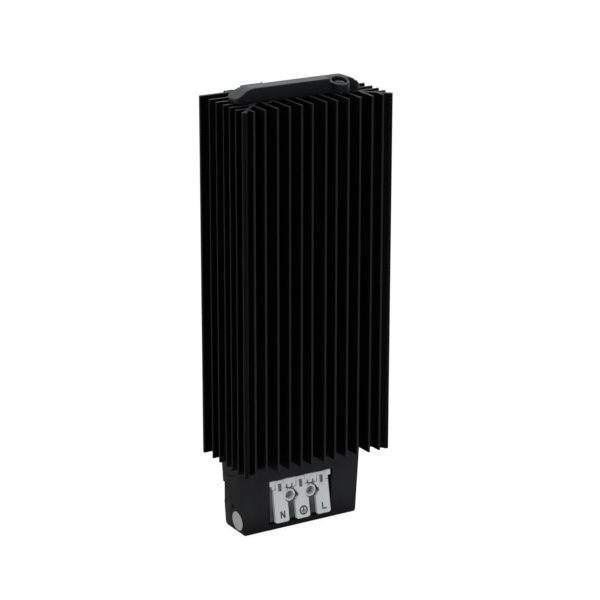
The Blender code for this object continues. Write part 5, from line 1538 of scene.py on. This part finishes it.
def link_at(name, data, place, turn):
    """Put a lamp or a camera in the scene."""
    obj = bpy.data.objects.new(name, data)
    bpy.context.scene.collection.objects.link(obj)
    obj.location = place
    obj.rotation_euler = turn.to_euler()
    return obj


def make_lamp(name, place, size, power):
    """A square lamp that faces the row frame's origin."""
    lamp = bpy.data.lights.new(name, "AREA")
    lamp.shape = "SQUARE"
    lamp.size = size
    lamp.energy = power
    link_at(name, lamp, place, (-Vector(place)).to_track_quat("-Z", "Y"))


def make_camera(stage):
    forward = Vector((math.sin(stage.yaw) * math.cos(stage.pitch),
                      math.cos(stage.yaw) * math.cos(stage.pitch), -math.sin(stage.pitch)))
    camera = bpy.data.cameras.new("camera")
    camera.sensor_width = 36.0
    camera.lens = stage.lens
    camera.clip_start, camera.clip_end = 0.05, 20.0
    turn = forward.to_track_quat("-Z", "Y").to_matrix() @ Matrix.Rotation(stage.roll, 3, "Z")
    bpy.context.scene.camera = link_at("camera", camera, Vector(stage.aim) - forward * stage.distance, turn)


class HEATER_OT_make_stage(bpy.types.Operator):
    """Build the floor, the light and the camera"""

    bl_idname = "heater.make_stage"
    bl_label = "Stage"

    def execute(self, context):
        stage = current().stage
        half, under = 3.0, 0.0001      # half of the floor's width, and its distance below the part
        bm = bmesh.new()
        bmesh.ops.create_grid(bm, x_segments=4, y_segments=4, size=half)
        bm.transform(Matrix.Translation((0.0, 0.0, CAD_BOX[0].z - under)))
        floor = shape_from("floor", bm)
        floor.data.materials.append(floor_material(current().colours.floor, stage.floor_share))
        make_world(stage)
        make_lamp("key_lamp", (0.30, -0.90, 1.10), 0.9, stage.key)
        make_lamp("fill_lamp", (1.1, -0.5, 0.5), 0.9, stage.fill)
        make_camera(stage)
        context.scene.view_settings.view_transform = "Standard"
        return {"FINISHED"}


STEPS = (HEATER_OT_finish_profile, HEATER_OT_make_cap, HEATER_OT_make_screws, HEATER_OT_make_housing,
         HEATER_OT_make_block, HEATER_OT_make_levers, HEATER_OT_make_sticker, HEATER_OT_finish_clip,
         HEATER_OT_make_spring, HEATER_OT_finish_inside, HEATER_OT_make_stage)
GROUPS = (CapSizes, HousingSizes, BlockSizes, LeverSizes, ScrewSizes, SpringSizes, Colours,
          StageSettings, HeaterSettings)


class HEATER_PT_panel(bpy.types.Panel):
    """Sidebar panel with the heater's sizes, colours and steps"""

    bl_idname = "HEATER_PT_panel"
    bl_label = "Enclosure heater"
    bl_space_type = "VIEW_3D"
    bl_region_type = "UI"
    bl_category = "Heater"

    def draw(self, context):
        settings = context.scene.heater
        for group in ("cap", "housing", "block", "lever", "screw", "spring", "colours", "stage"):
            box = self.layout.box()
            box.label(text=group.capitalize())
            sizes = getattr(settings, group)
            for name in sizes.__annotations__:
                box.prop(sizes, name)
        for step in STEPS:
            self.layout.operator(step.bl_idname)


CLASSES = GROUPS + STEPS + (HEATER_PT_panel,)


def register():
    for cls in CLASSES:
        bpy.utils.register_class(cls)
    bpy.types.Scene.heater = PointerProperty(type=HeaterSettings)


def unregister():
    del bpy.types.Scene.heater
    for cls in reversed(CLASSES):
        bpy.utils.unregister_class(cls)


def main():
    """Build everything in order."""
    register()
    for step in STEPS:
        group, name = step.bl_idname.split(".")
        result = getattr(getattr(bpy.ops, group), name)()
        if result != {"FINISHED"}:
            raise RuntimeError(f"{step.bl_idname} did not finish: {result}")


if __name__ == "__main__":
    main()
